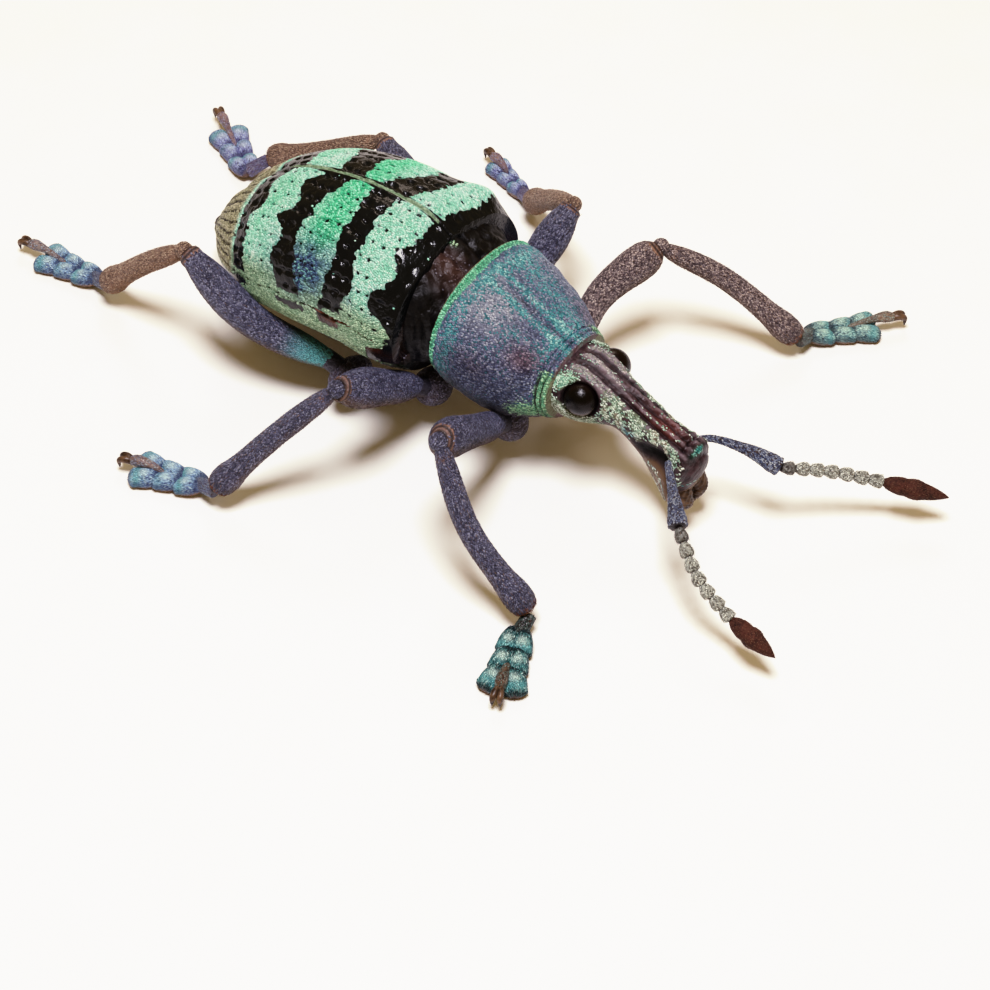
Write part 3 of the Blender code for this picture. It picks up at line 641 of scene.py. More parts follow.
def pronotum_colour(tree, chance):
    """Mixed blue-grey, lavender and turquoise, green at the hind rim and yellow-green at the front, with a
    painted highlight of pale lavender on top near the hind rim and painted shade low on the flanks.
    """
    patch = speckle(tree, 1.3, 3.0, 0.02)
    grey = tones(tree, chance, "2a3046", "444e68", "606b88", "808ca4", "acb4c4")
    lavender = tones(tree, chance, "8e98aa", "acb4c4", "ccd2dc")
    turquoise = tones(tree, chance, "34747e", "5aa6ac", "90ccce", "c8e8e8")
    rim = tones(tree, chance, "489f7c", "70c8a0", "a8e8ca")
    collar = tones(tree, chance, "4a8468", "80bc94", "bce2bc")
    russet = tones(tree, chance, "3a2830", "664c56", "9a8088")
    flecks = step(tree, summed(tree, patch, 0.25, summed(tree, chance, -1, "turquoise")), 0.05, 0.2)
    green = step(tree, summed(tree, chance, 0.5, "rim"), 0.65, 0.9)
    front = step(tree, summed(tree, chance, 0.4, "collar"), 0.6, 0.9)
    # The lavender mark is partly a painted highlight on top, and the shade mark is painted shade
    return paint(tree, grey, (patch, 0.22, "8480a0"), ("lavender", 0.8, lavender), (flecks, turquoise),
                 ("russet", 0.75, russet), ("shade", 0.55, "252a3e"), (green, rim), (front, collar),
                 ("line", "40302e"), ("edging", "9a5c30"))


def pronotum_material():
    """Hard shell with a coarse grain, which breaks up the shine. Its colour is the scales' own, darkened by
    half as painted shade, so that it shows as a dark mesh between the scales."""
    material, tree, shader = new_material("pronotum_shell", Specular_IOR_Level=0.5)
    chance, rise = cells(tree, 0.12)
    grain = speckle(tree, 0.35, 4.0)
    # The scales' colour, darkened by half as painted shade in the gaps between scales
    feed(tree, shader, Base_Color=paint(tree, pronotum_colour(tree, chance), (0.5, "14121c")),
         Roughness=summed(tree, chance, 0.25, 0.38),
         Normal=raised(tree, summed(tree, rise, 0.35, grain), 0.06))
    return material


def pronotum_scale_material():
    """Pearly scales of many tones, which mix to a soft blue-grey at a distance."""
    material, tree, shader = new_material("pearly_pronotum_scales", Specular_IOR_Level=0.5, Metallic=0.15,
                                          Roughness=0.42)
    feed(tree, shader, Base_Color=pronotum_colour(tree, masked(tree, "chance")))
    return material


def make_pronotum(rows=200, columns=280):
    """The shield as one closed shell, with its rings of points closer at the rim and the collar."""
    t = np.concatenate((np.linspace(0, 0.12, 41)[:-1], np.linspace(0.12, 0.84, rows - 80),
                        np.linspace(0.84, 1, 41)[1:]))
    half = PROTHORAX_HALF_WIDTH * curve(COLLAR_LINE, t)
    top, bottom = curve(THORAX_TOP, t), curve(THORAX_BOTTOM, t)
    rings, around = body_rings(top, bottom, half, THORAX_WAIST, THORAX_POWERS, columns)
    tt = np.broadcast_to(t[:, None], around.shape)
    across = rings[..., 0]
    upper = ease(1.5, 1.2, np.abs(around))
    # The groove along the middle, the raised hind rim, two grooves behind the collar, and the grain
    height = -0.12 * bell(across, 0, 0.22) * ease(0.05, 0.2, tt) * ease(0.95, 0.8, tt) * upper
    height += 0.07 * bell(tt, 0.015, 0.015) - 0.05 * bell(tt, 0.05, 0.02)
    height += -0.1 * bell(tt, 0.905, 0.012) - 0.09 * bell(tt, 0.955, 0.01) + 0.05 * bell(tt, 0.93, 0.015)
    grain = np.sin(9 * across + 5 * tt) * np.sin(31 * tt + 3 * across)
    height += 0.03 * grain * ease(0.1, 0.2, tt) * ease(0.9, 0.8, tt)
    rings = posed(relief(rings, height))
    degrees = np.degrees(-around)
    turned = np.abs(degrees)
    collar = ease(0.85, 0.93, tt) * ease(25, 60, turned) * ease(150, 110, turned)
    turquoise = 0.8 * bell(np.abs(across), 0.42, 0.2) * ease(0.05, 0.2, tt) + 0.6 * bell(tt, 0.14, 0.07) + 0.05
    turquoise += (0.55 * bell(degrees, -24, 14) * ease(0.1, 0.2, tt)
                  + 0.5 * bell(tt, 0.85, 0.1) * bell(degrees, 12, 25))
    turquoise += 0.5 * bell(degrees, 24, 5) * bell(tt, 0.62, 0.14)
    russet = 1.1 * bell(tt, 0.74, 0.14) * bell(degrees, 40, 13)
    russet = russet + 0.5 * bell(tt, 0.4, 0.14) * bell(degrees, 66, 10)
    russet += 0.6 * bell(tt, 0.8, 0.14) * bell(degrees, -50, 16) + 0.8 * ease(95, 125, turned)
    grooves = np.maximum(bell(tt, 0.905, 0.008), bell(tt, 0.955, 0.007)) * ease(40, 60, turned)
    middle = bell(across, 0, 0.06) * upper * ease(0.1, 0.2, tt) * (0.5 + 0.5 * np.sin(17 * tt))
    marks = {
        "rim": ease(0.066, 0.015, tt - 0.03 * bell(degrees, 10, 30)) * ease(125, 85, turned),
        "collar": np.maximum(collar, 0.8 * ease(0.5, 0.85, tt) * bell(turned, 108, 26)),
        "turquoise": np.clip(turquoise, 0, 1),
        # On top near the hind rim this is a painted highlight in pale lavender; on the left flank it is the
        # scales' own lavender
        "lavender": bell(degrees, 18, 22) * bell(tt, 0.3, 0.25) + 0.5 * bell(degrees, -55, 18),
        "russet": np.clip(russet, 0, 1),
        "shade": (ease(45, 78, degrees) * ease(0.95, 0.7, tt) * ease(0.05, 0.15, tt)
                  + 0.8 * ease(-60, -90, degrees)),
        "line": 0.6 * middle + 0.9 * grooves,
        "edging": 0.9 * ease(0.012, 0.0, tt) * ease(140, 60, turned) + 0.5 * ease(0.985, 1, tt),
    }

    def grows(at, chance):
        return (chance > 0.08) & (at["edging"] < 0.5) & (at["line"] < 0.2 + 0.5 * chance)

    clad("prothorax", [rings], {mark: [value] for mark, value in marks.items()},
         (pronotum_material(), pronotum_scale_material()), "thorax", grows, PRONOTUM_SCALES, seed=5)


make_pronotum()


# Body under the wing cases: neck, hind thorax and belly plates. Dark shell, thinly scaled, with pale
# green patches on the flank plates before the hind legs.

BELLY_DEPTH, THORAX_END, VENTER_SHARE = 7.9, 6.6, 0.85
BELLY_LINE = ((-0.03, 0.94), (0.1, 0.99), (0.35, 1.0), (0.7, 0.98), (0.9, 0.95), (1, 0.935))
PLATE_ENDS = (0.0, 0.3, 0.52, 0.67, 0.81)
UNDERSIDE_SCALES = {"size": (0.085, 0.05, 0.016), "spacing": 0.17, "lift": 0.15}
NECK_SCALES = {"size": (0.07, 0.05, 0.014), "spacing": 0.12, "lift": 0.15}
# The ring between the shield and the wing cases, with the scutellum on it, from front to rear
NECK_TOP = ((0, (-1.75, -1.95)), (0.35, (-1.2, -1.6)), (0.7, (-0.7, -1.2)), (1, (0.1, -0.8)))
NECK_BOTTOM = ((0, (-1.6, -6.4)), (0.4, (-0.95, -6.6)), (1, (0.1, -6.9)))
NECK_WIDTH = ((0, 3.0), (0.4, 3.15), (0.8, 3.55), (1, 3.85))


def underside_colour(tree, chance):
    """Dusty grey, browner in clouds and where it is marked, with pale green patches."""
    cloud = speckle(tree, 0.7, 4.0)
    return paint(tree, tones(tree, chance, "2c2c36", "4a4d5c", "7b7f8c"), ("brown", 0.8, "6b5348"),
                 (cloud, 0.3, "2a211f"), ("green", tones(tree, chance, "5f8f6a", "93c296", "cdeec8")))


def underside_material():
    """Unpolished brown-black shell, matt and cloudy, so that the belly stays dark and quiet."""
    material, tree, shader = new_material("dark_underside_shell", Specular_IOR_Level=0.3)
    cloud = speckle(tree, 0.4, 4.0)
    # Where marked black the shell is painted near-black as shade, on the deep sides of the neck
    shell = paint(tree, "0e0a0a", (cloud, 0.5, "2c2220"), ("brown", 0.7, "4a3630"), ("green", 0.6, "3f5a45"),
                  ("black", "040303"))
    feed(tree, shader, Base_Color=shell, Roughness=summed(tree, cloud, 0.25, 0.35),
         Normal=raised(tree, cloud, 0.04))
    return material


def underside_scale_material():
    """Small grey scales, which give the belly a dusty look."""
    material, tree, shader = new_material("underside_scales", Specular_IOR_Level=0.45, Roughness=0.5)
    feed(tree, shader, Base_Color=underside_colour(tree, masked(tree, "chance")))
    return material


def venter_rings(start, end, rows, columns, creases=(), lean=0.0):
    """The body under the wing cases from y start to end, stepped where its plates meet. The front of the
    hind thorax leans forward."""
    y = np.linspace(start, end, rows)
    t = y / ELYTRA_LENGTH
    half = ELYTRA_HALF_WIDTH * curve(WIDTH_LINE, np.maximum(t, 0)) * VENTER_SHARE
    rim = margin_height(t) + 0.1
    depth = -BELLY_DEPTH * curve(BELLY_LINE, t)
    for crease in creases:
        depth += 0.16 * bell(y, crease, 0.12) * (y <= crease + 0.12)
    angle = pi + pi * np.arange(columns) / (columns - 1)
    x, drop = powered(np.cos(angle), 1.9), powered(np.sin(angle), 1.9)
    slant = lean * np.maximum(0, 1 - 3 * t)
    bowl = np.stack((half[:, None] * x, y[:, None] - slant[:, None] * drop,
                     rim[:, None] + drop * (rim - depth)[:, None]), -1)
    lid = np.stack([np.stack((share * half, y, rim), -1) for share in (0.6, 0.2, -0.2, -0.6)], 1)
    return np.concatenate((bowl, lid), 1)


def make_belly(materials):
    """The hind thorax and the abdomen with its plates, as two pieces that meet below the wing cases."""
    start = THORAX_END + 0.3
    creases = [start + (ELYTRA_LENGTH - THORAX_END) * share for share in PLATE_ENDS]
    hind = venter_rings(-0.05, start, 90, 130, lean=0.55)
    belly = venter_rings(start - 0.1, ELYTRA_LENGTH - 0.8, 150, 110, creases)
    for name, rings in (("pterothorax", hind), ("abdomen", belly)):
        y, z = rings[..., 1], rings[..., 2]
        height, green = np.zeros(y.shape), 0.35 * bell(z, -6.6, 0.5)
        if name == "pterothorax":
            height = -0.12 * bell(z, -6.1, 0.1) - 0.1 * bell(y - 0.5 * z, 4.2, 0.1)
            green = 1.2 * bell(y, 2.3, 1.5) * bell(z, -5.6, 0.4)
        marks = {"green": [green], "brown": [0.5 * bell(z, -5.0, 0.3)], "black": [0.0]}
        clad(name, [posed(relief(rings, height))], marks, materials, "underside",
             lambda at, chance: chance < 0.35 + at["green"], UNDERSIDE_SCALES, seed=6)


def make_neck(materials):
    """The ring in front of the wing cases, rough and partly brown, with the small green scutellum. Away from
    the brown patch on its upper right it is painted near-black as shade, where it lies deep between shield
    and wing cases, and fewer scales grow there.
    """
    t = np.linspace(0, 1, 60)
    rings, around = body_rings(curve(NECK_TOP, t), curve(NECK_BOTTOM, t), curve(NECK_WIDTH, t), 0.5,
                               (2.1, 2.1), 200)
    x, y, z = (rings[..., axis] for axis in range(3))
    height = -0.16 * bell(np.abs(x), 0.6, 0.1) * ease(1.4, 1.0, np.abs(around))
    height += 0.14 * bell(x, 0, 0.3) * bell(y, -0.35, 0.4) * (z > -3) - 0.15 * bell(np.abs(x), 1.7, 0.25)
    height += 0.05 * np.sin(7 * x) * np.sin(9 * y)
    aside = np.abs(x + 1.0)
    marks = {"green": [1.4 * bell(x, 0.0, 0.16) * bell(y, -0.1, 0.2) * (z > -2)],
             "brown": [0.9 * bell(x, -1.0, 0.7) * (z > -3)],
             # Painted shade: near-black, with fewer scales, wherever the ring lies deep between shield and
             # wing cases
             "black": [0.9 * ease(0.6, 1.4, aside) * ease(0.3, 0.1, np.abs(x)) + ease(0.9, 1.6, aside)]}
    clad("mesonotum", [posed(relief(rings, height))], marks, materials, "thorax",
         lambda at, chance: chance < 0.45 * at["brown"] + at["green"] - 0.2 * at["black"], NECK_SCALES,
         seed=8)


underside = underside_material(), underside_scale_material()
make_belly(underside)
make_neck(underside)


# Head and snout. One hard capsule: mint scales round the eyes and down the sides, a bare purple-brown
# ridged back to the snout, a deep groove on each side for the antenna, and a green patch at its tip.

HEAD_TOP = ((0, (-6.5, -4.05)), (0.1, (-6.98, -4.1)), (0.2, (-7.6, -3.98)), (0.33, (-8.9, -4.56)),
            (0.4, (-9.3, -4.75)), (0.6, (-11.2, -5.7)), (0.86, (-12.7, -6.3)), (0.97, (-13.2, -6.65)),
            (1, (-13.3, -6.95)))
HEAD_BOTTOM = ((0, (-6.4, -7.1)), (0.2, (-7.7, -7.3)), (0.33, (-8.75, -7.1)), (0.4, (-9.15, -7.1)),
               (0.6, (-10.4, -8.2)), (0.82, (-11.65, -10.15)), (0.91, (-12.0, -10.1)), (0.97, (-12.3, -9.7)),
               (1, (-12.55, -9.4)))
HEAD_WIDTH = ((0, 1.85), (0.1, 1.85), (0.2, 1.68), (0.33, 1.14), (0.4, 1.0), (0.55, 0.87), (0.68, 0.87),
              (0.8, 1.02), (0.9, 1.32), (0.95, 1.32), (0.985, 1.15), (1, 0.95))
HEAD_SCALES = {"size": (0.065, 0.042, 0.014), "spacing": 0.085, "lift": 0.15}
ANTENNA_GROOVE = ((0.55, -7.0), (0.7, -7.15), (0.85, -7.3), (0.95, -7.35))
EYE_PLACE, EYE_SIZE = np.array((1.26, -7.82, -5.26)), (0.74, 0.8, 0.8)


def head_colour(tree, chance):
    """Mint, with cream, blue and teal scales where these are marked, and grey-purple ones on the ridges."""
    cream = tones(tree, chance, "6e5846", "9c8f7c", "bcc2b0", "dbe4d8", "f2f6ee")
    return paint(tree, tones(tree, chance, "6aa08c", "98c8ae", "bfe2cc", "e4f4ea"), ("dark", "2c2426"),
                 ("cream", cream), ("blue", tones(tree, chance, "2f6f86", "4a9fb0", "8fd0cf")),
                 ("tip", tones(tree, chance, "1c4a48", "2f7f78", "5cb0a4")),
                 ("ridge", tones(tree, chance, "6f6470", "9a8f98", "c9bfc2")))


def head_material():
    """Bare ridged shell, purple-brown, pale grey along its ridges, and paler brown beneath."""
    material, tree, shader = new_material("purple_brown_snout", Specular_IOR_Level=0.35)
    cloud = speckle(tree, 0.45, 4.0)
    streak = speckle(tree, 0.2, 2.0, 0.03)
    shell = paint(tree, "160d11", (cloud, 0.6, "3c2628"), (streak, 0.35, "6a565a"), ("russet", "5a2c26"),
                  ("ridge", 0.75, "a89ca2"), ("under", "705840"),
                  (step(tree, "scaled", 0.3, 0.7), 0.85, "6c7a64"), ("dark", "080404"), ("tip", "123c34"))
    feed(tree, shader, Base_Color=shell, Roughness=summed(tree, "dark", 0.4, summed(tree, cloud, 0.2, 0.3)),
         Normal=raised(tree, summed(tree, streak, 0.5, cloud), 0.035))
    return material


def head_scale_material():
    """Mint scales on the cheeks and cream and tan ones down the snout's sides, all with a faint pearl."""
    material, tree, shader = new_material("mint_head_scales", Specular_IOR_Level=0.5, Metallic=0.1,
                                          Roughness=0.42)
    feed(tree, shader, Base_Color=head_colour(tree, masked(tree, "chance")))
    return material


def make_head(rows=290, columns=204):
    """Head and snout as one closed skin, because they are one capsule, with sockets for the eyes."""
    q = np.linspace(0, 1, rows)
    top, bottom, half = curve(HEAD_TOP, q), curve(HEAD_BOTTOM, q), curve(HEAD_WIDTH, q)
    round_tip = ease(0.82, 0.97, q)[:, None]
    powers = (2.5 - 0.45 * round_tip, 2.15 - 0.1 * round_tip)
    rings, around = body_rings(top, bottom, half, 0.55, powers, columns)
    qq = np.broadcast_to(q[:, None], around.shape)
    x, z = rings[..., 0], rings[..., 2]
    aside = np.abs(x)
    share = x / half[:, None]
    back = ease(1.25, 0.95, np.abs(around))
    dorsal = ease(0.08, 0.16, qq) * ease(0.97, 0.9, qq) * back
    # Ridges and grooves run from the collar to the tip: one furrow in the middle and one on each side
    wander = 0.05 * np.sin(13 * qq) + 0.03 * np.sin(31 * qq)
    near = ease(0.5, 0.3, qq)
    height = (0.1 * near * bell(x, wander, 0.13) - 0.12 * (1 - near) * bell(x, wander, 0.08)) * dorsal
    height += 0.06 * bell(aside, 0.27 + wander, 0.08) * dorsal * (1 - near)
    height += -0.1 * bell(aside, 0.3, 0.08) * dorsal * near - 0.11 * bell(aside, 0.47, 0.07) * dorsal
    height += 0.06 * bell(aside, 0.68, 0.1) * dorsal * ease(0.3, 0.4, qq)
    # Fine wrinkles of three sizes lie across them
    height += 0.025 * np.sin(38 * qq + 9 * x) * np.sin(15 * x + 5) * dorsal
    height += 0.02 * np.sin(97 * qq - 13 * x) * dorsal
    height += 0.02 * np.sin(61 * qq + 23 * x) * np.sin(29 * x - 41 * qq) * dorsal
    # A deep groove on each side of the snout takes the antenna's first joint, and a crease crosses its end
    line = curve(ANTENNA_GROOVE, np.clip(qq, 0.55, 0.95)) - 0.9 * ease(0.7, 0.95, qq)
    groove = bell(z, line, 0.42) * ease(0.5, 0.62, qq) * ease(0.985, 0.95, qq) * (np.abs(share) > 0.5)
    height += -0.5 * groove * ease(0.5, 0.8, qq) + 0.1 * bell(qq, 0.95, 0.03) * bell(share, 0, 0.4) * back
    height -= 0.12 * bell(qq, 0.875, 0.016) * back
    socket = np.zeros(qq.shape)
    for side in SIDES.values():
        away = np.linalg.norm((rings - EYE_PLACE * (side, 1, 1)) / np.array(EYE_SIZE), axis=-1)
        socket += bell(away, 1.05, 0.12)
        height += 0.05 * bell(away, 1.3, 0.12) - 0.5 * ease(1.2, 0.95, away)
    rings = posed(relief(rings, height))

    # Where scales grow: on the cheeks, over the eyes, down the flanks, under the jaw and on the tip
    degrees = np.degrees(np.abs(around))
    above = ease(-0.1, 0.3, z - line) * ease(0.5, 0.6, qq) + ease(0.6, 0.5, qq)
    flank = ease(0.55, 0.72, aside / np.maximum(half[:, None], 0.8)) * ease(118, 98, degrees)
    flank = flank * ease(0.3, 0.36, qq) * above
    mottled = 0.66 + 0.35 * np.sin(34 * qq + 7 * z) * np.sin(19 * z - 11 * qq)
    flank = flank * (mottled + 0.35 * np.sin(71 * qq + 3 * z))
    brow = ease(0.3, 0.14, qq) * bell(degrees, 50, 17)
    cheek = ease(0.36, 0.22, qq) * ease(75, 95, degrees) * ease(150, 125, degrees)
    ridge = 1.1 * near * bell(x, wander, 0.14) + 0.35 * bell(aside, 0.27, 0.06)
    ridge = (ridge + 0.5 * bell(aside, 0.68, 0.07)) * dorsal
    ridge += 0.8 * near * bell(aside, 0.75, 0.2) * ease(0.06, 0.14, qq) * back
    tip = 1.3 * bell(qq, 0.957, 0.02) * bell(share, 0.0, 0.34) * back
    below = ease(0.0, -0.3, z - line + 0.3) * ease(0.6, 0.7, qq)
    jaw = below * (0.5 + 0.5 * np.sin(60 * qq + 9 * z))
    scaled = 1.1 * flank + 1.2 * brow + 1.1 * cheek + 0.5 * ridge + tip
    scaled += 0.62 * jaw - 1.4 * groove - 0.8 * socket - 0.8 * ease(0.88, 0.93, qq) * (1 - ease(0.2, 0.6, tip))
    scaled += 0.75 * ease(0.9, 0.94, qq) * ease(75, 95, degrees) * (0.6 + 0.4 * np.sin(90 * qq + 15 * z))
    furrows = 0.7 * bell(x, wander, 0.08) * (1 - near) + 0.8 * bell(aside, 0.3, 0.07) * near
    dark = 1.2 * groove + 0.9 * socket + dorsal * (furrows + 0.7 * bell(aside, 0.5, 0.06))
    cream = 0.7 * cheek + 0.6 * brow * (x > 0) + 1.1 * flank * (0.7 + 0.3 * np.sin(30 * qq + 4 * z)) + below
    russet = 0.8 * ease(0.62, 0.4, aside) * bell(qq, 0.68, 0.13) * back
    marks = {
        "scaled": np.clip(scaled, 0, 1.3),
        "dark": np.clip(dark, 0, 1),
        "under": np.clip(0.8 * ease(105, 130, degrees) * ease(0.3, 0.5, qq) + below, 0, 0.85),
        "tip": np.clip(tip, 0, 1),
        "cream": np.clip(cream, 0, 1),
        "russet": russet + 0.6 * ease(110, 130, degrees) * ease(0.7, 0.9, qq),
        "blue": 0.8 * bell(degrees, 98, 12) * ease(0.35, 0.5, qq) * (0.5 + 0.5 * np.sin(40 * qq)),
        "ridge": np.clip(ridge, 0, 1) * (1 - ease(0.3, 0.8, flank)),
    }
    # The tip closes in a low dome
    last, ahead = rings[-1], (rings[-1] - rings[-3]).mean(0)
    ahead /= np.linalg.norm(ahead)
    middle = last.mean(0)
    dome = [middle + (last - middle) * reach + ahead * 0.35 * (1 - reach**2) ** 0.5
            for reach in (0.93, 0.8, 0.6, 0.35, 0.1)]
    rings = np.concatenate((rings, dome))
    marks = {mark: [np.concatenate((value, np.repeat(value[-1:], len(dome), 0)))]
             for mark, value in marks.items()}
    clad("head", [rings], marks, (head_material(), head_scale_material()), "head",
         lambda at, chance: chance < at["scaled"] - 0.6 * at["dark"] * (at["tip"] < 0.3), HEAD_SCALES, seed=9,
         nodes=("head", "rostrum"))


make_head()


# Eyes. Each is a glossy dome of many tiny facets, almost black, with a painted brown glow that is
# strongest on its lower part. It is made whole, and sits in the socket that the head leaves for it.

def eye_material():
    """A clear hard cornea over dark pigment: glossy and almost black, with one soft glint that the tiny
    facets blur. A faint brown glow is painted over it, and the lower eye is painted brown, as light that
    comes through. Real facets are half this size."""
    material, tree, shader = new_material("faceted_eye", Roughness=0.2, Specular_IOR_Level=0.34)
    _, facet = cells(tree, 0.045)
    glow = speckle(tree, 0.8, 2.0)
    feed(tree, shader, Base_Color=paint(tree, "060302", (glow, 0.4, "24120e"), ("low", 0.6, "5a3c2e")),
         Normal=raised(tree, facet, 0.003, 0.6))
    return material


def ball(place, size, rows=48, columns=64):
    """Rings of an ellipsoid about a point, with its poles on its X axis."""
    polar = pi * (np.arange(rows) + 0.5) / rows
    angle = tau * np.arange(columns) / columns
    reach = np.sin(polar)[:, None]
    x = np.broadcast_to(-np.cos(polar)[:, None], (rows, columns))
    unit = np.stack((x, reach * np.cos(angle), reach * np.sin(angle)), -1)
    return np.asarray(place) + unit * np.asarray(size)


eye = eye_material()
for side_name, side in SIDES.items():
    rings = ball(EYE_PLACE * (side, 1, 1), EYE_SIZE)
    # The lower part of each eye is painted brown, a painted glow of light coming through it
    low = ease(0.1, 0.75, (EYE_PLACE[2] - 0.1 - rings[..., 2]) / EYE_SIZE[2])
    skin(f"eye_{side_name}", [posed(rings)], eye, "eye", {"low": [low]})


# Mandibles and claws. They are smooth horn, dark brown with paler clouds. The two mandibles close the
# snout, and a pair of claws ends each foot.

def horn_material():
    """Hard dark-brown horn, smooth enough for a narrow shine along each hook."""
    material, tree, shader = new_material("brown_horn", Roughness=0.35, Specular_IOR_Level=0.35)
    cloud = speckle(tree, 0.35, 3.0)
    feed(tree, shader, Base_Color=paint(tree, "2a1e16", (cloud, "6a5440")), Normal=raised(tree, cloud, 0.01))
    return material


def limb(path, radii, widths=None, rows=60, columns=40):
    """Rings of a tapering limb along a smooth path, from its half heights and half widths."""
    t = np.linspace(0, 1, rows)
    centre = curve(path, t)
    ahead = np.gradient(centre, axis=0)
    ahead /= np.linalg.norm(ahead, axis=1, keepdims=True)
    side = np.cross(ahead, (0, 0, 1))
    side /= np.linalg.norm(side, axis=1, keepdims=True)
    top = np.cross(side, ahead)
    angle = tau * np.arange(columns) / columns
    high = curve(radii, t)[:, None, None]
    wide = curve(widths or radii, t)[:, None, None]
    turn = side[:, None, :] * np.cos(angle)[None, :, None] * wide
    turn = turn + top[:, None, :] * np.sin(angle)[None, :, None] * high
    return centre[:, None, :] + turn


horn = horn_material()
for side_name, side in SIDES.items():
    path = ((0, (side * 0.52, -12.5, -8.7)), (0.45, (side * 0.56, -12.82, -9.4)),
            (1, (side * 0.1, -12.6, -10.3)))
    heights = ((0, 0.5), (0.5, 0.38), (0.8, 0.2), (1, 0.05))
    rings = limb(path, heights, ((0, 0.55), (0.5, 0.42), (0.8, 0.24), (1, 0.06)), 60, 40)
    wrinkles = np.sin(9 * rings[..., 2] + 20 * rings[..., 0]) * np.sin(31 * rings[..., 2])
    skin(f"mandible_{side_name}", [posed(relief(rings, 0.03 * wrinkles))], horn, "claw")


# Legs. Blue-violet scales over brown shell, tan beneath, with a red-brown ball at each knee, a fringe at
# each shin's end, three pearly foot segments of two lobes each, and a slim arched claw segment.

COXA_PLACES = {"front": (1.75, -4.0, -8.4), "middle": (2.1, 0.1, -8.1), "hind": (3.75, 3.7, -8.05)}
COXA_SIZES = {"front": (0.85, 0.95, 0.95), "middle": (0.95, 0.9, 0.9), "hind": (1.25, 0.85, 0.75)}
# Where each leg bends and stands, how far its femur and tibia bow, its foot's share of the full width and
# how far its last segment reaches past the toe
Leg = namedtuple("Leg", "knee ankle heel toe thigh_bow shin_bow spread last_reach")
LEGS = {
    "front_right": Leg((-8.1, -5.6, 7.1), (-9.3, -11.45, 0.95), (-9.95, -11.4), (-13.1, -12.7),
                       (0, 0, 0), (-0.5, 0.4, 0), 1.0, -0.3),
    "middle_right": Leg((-7.8, 0.3, 6.3), (-12.3, 4.1, 1.05), (-12.0, 4.9), (-13.0, 8.35),
                        (0, 0, 0), (0, 0, 0.2), 0.95, -0.25),
    "hind_right": Leg((-5.1, 11.7, 6.1), (-5.4, 17.2, 0.95), (-5.1, 18.0), (-5.4, 21.6),
                      (-0.65, -0.05, -0.3), (0, 0, 0.2), 0.9, 0.35),
    "front_left": Leg((8.8, -5.5, 5.7), (11.8, -11.8, 0.95), (12.6, -11.6), (15.4, -13.95),
                      (0, 0.8, 0), (0.1, 0.3, 0.6), 0.85, 0.4),
    "middle_left": Leg((8.5, -0.7, 5.9), (11.9, 4.2, 0.95), (12.45, 5.0), (13.6, 7.85),
                       (0, 0, 0), (0, 0, 0.2), 0.6, -0.2),
    "hind_left": Leg((8.35, 10.85, 3.95), (6.2, 16.8, 1.15), (5.2, 17.2), (7.2, 20.6),
                     (0.4, 0, 0), (0, 0, -0.1), 0.95, 0.4),
}
# Half heights of the femora, from hip to knee. The front pair is thickest just before the knee
THIGH = ((0, 0.45), (0.12, 0.66), (0.45, 0.86), (0.72, 0.95), (0.86, 0.8), (0.94, 0.62), (0.985, 0.56),
         (1, 0.4))
FRONT_THIGH = ((0, 0.45), (0.12, 0.64), (0.45, 0.76), (0.68, 0.86), (0.83, 0.93), (0.92, 0.84), (0.975, 0.6),
               (1, 0.4))
THIGH_FLATNESS, TROCHANTER_REACH = 0.84, 0.3
SHIN = ((0, 0.24), (0.05, 0.34), (0.12, 0.42), (0.25, 0.48), (0.5, 0.5), (0.8, 0.56), (0.91, 0.66),
        (0.96, 0.6), (0.985, 0.48), (1, 0.28))
KNEE_BALL = 0.4
# Each foot segment is a pair of lobes: where they start and end along the foot, how far out they start
# and end, their half width, and how high they start
SEGMENTS = (
    (0.03, 0.4, 0.18, 0.42, 0.44, 0.58),
    (0.31, 0.7, 0.2, 0.5, 0.46, 0.44),
    (0.6, 1.0, 0.22, 0.68, 0.54, 0.36),
)
LOBE_HEIGHTS = ((0, 0.24), (0.15, 0.34), (0.8, 0.37), (0.94, 0.28), (1, 0.16))
LOBE_WIDTHS = ((0, 0.62), (0.2, 0.86), (0.7, 1), (0.92, 0.86), (1, 0.5))
LOBES = 2 * len(SEGMENTS)
CLAW_PLACE, CLAW_HEIGHT, SOLE_HEIGHT = 0.4, 0.72, 0.16
COXA_SCALES = {"size": (0.07, 0.05, 0.014), "spacing": 0.11, "lift": 0.15}
THIGH_SCALES = {"size": (0.075, 0.05, 0.014), "spacing": 0.1, "lift": 0.15}
SHIN_SCALES = {"size": (0.07, 0.045, 0.014), "spacing": 0.1, "lift": 0.15}
FOOT_SCALES = {"size": (0.1, 0.032, 0.01), "spacing": 0.085, "lift": 0.08}
THIGH_HAIRS = {"size": (0.2, 0.011, 0.011), "spacing": 0.34, "lift": 0.2}
SHIN_HAIRS = {"size": (0.2, 0.011, 0.011), "spacing": 0.2, "lift": 0.24}
FRINGE_HAIRS = {"size": (0.24, 0.014, 0.014), "spacing": 0.085, "lift": 0.1}
SOLE_HAIRS = {"size": (0.13, 0.012, 0.012), "spacing": 0.11, "lift": 0.25}
# What a skin of the legs and antennae is marked with: its tan underside, dark and pale rings at a joint, a
# dark rim, a tinge of turquoise, and a painted sheen: a highlight painted in the palest tone
LEG_MARKS = ("under", "joint", "pale", "edge", "tinge", "sheen")


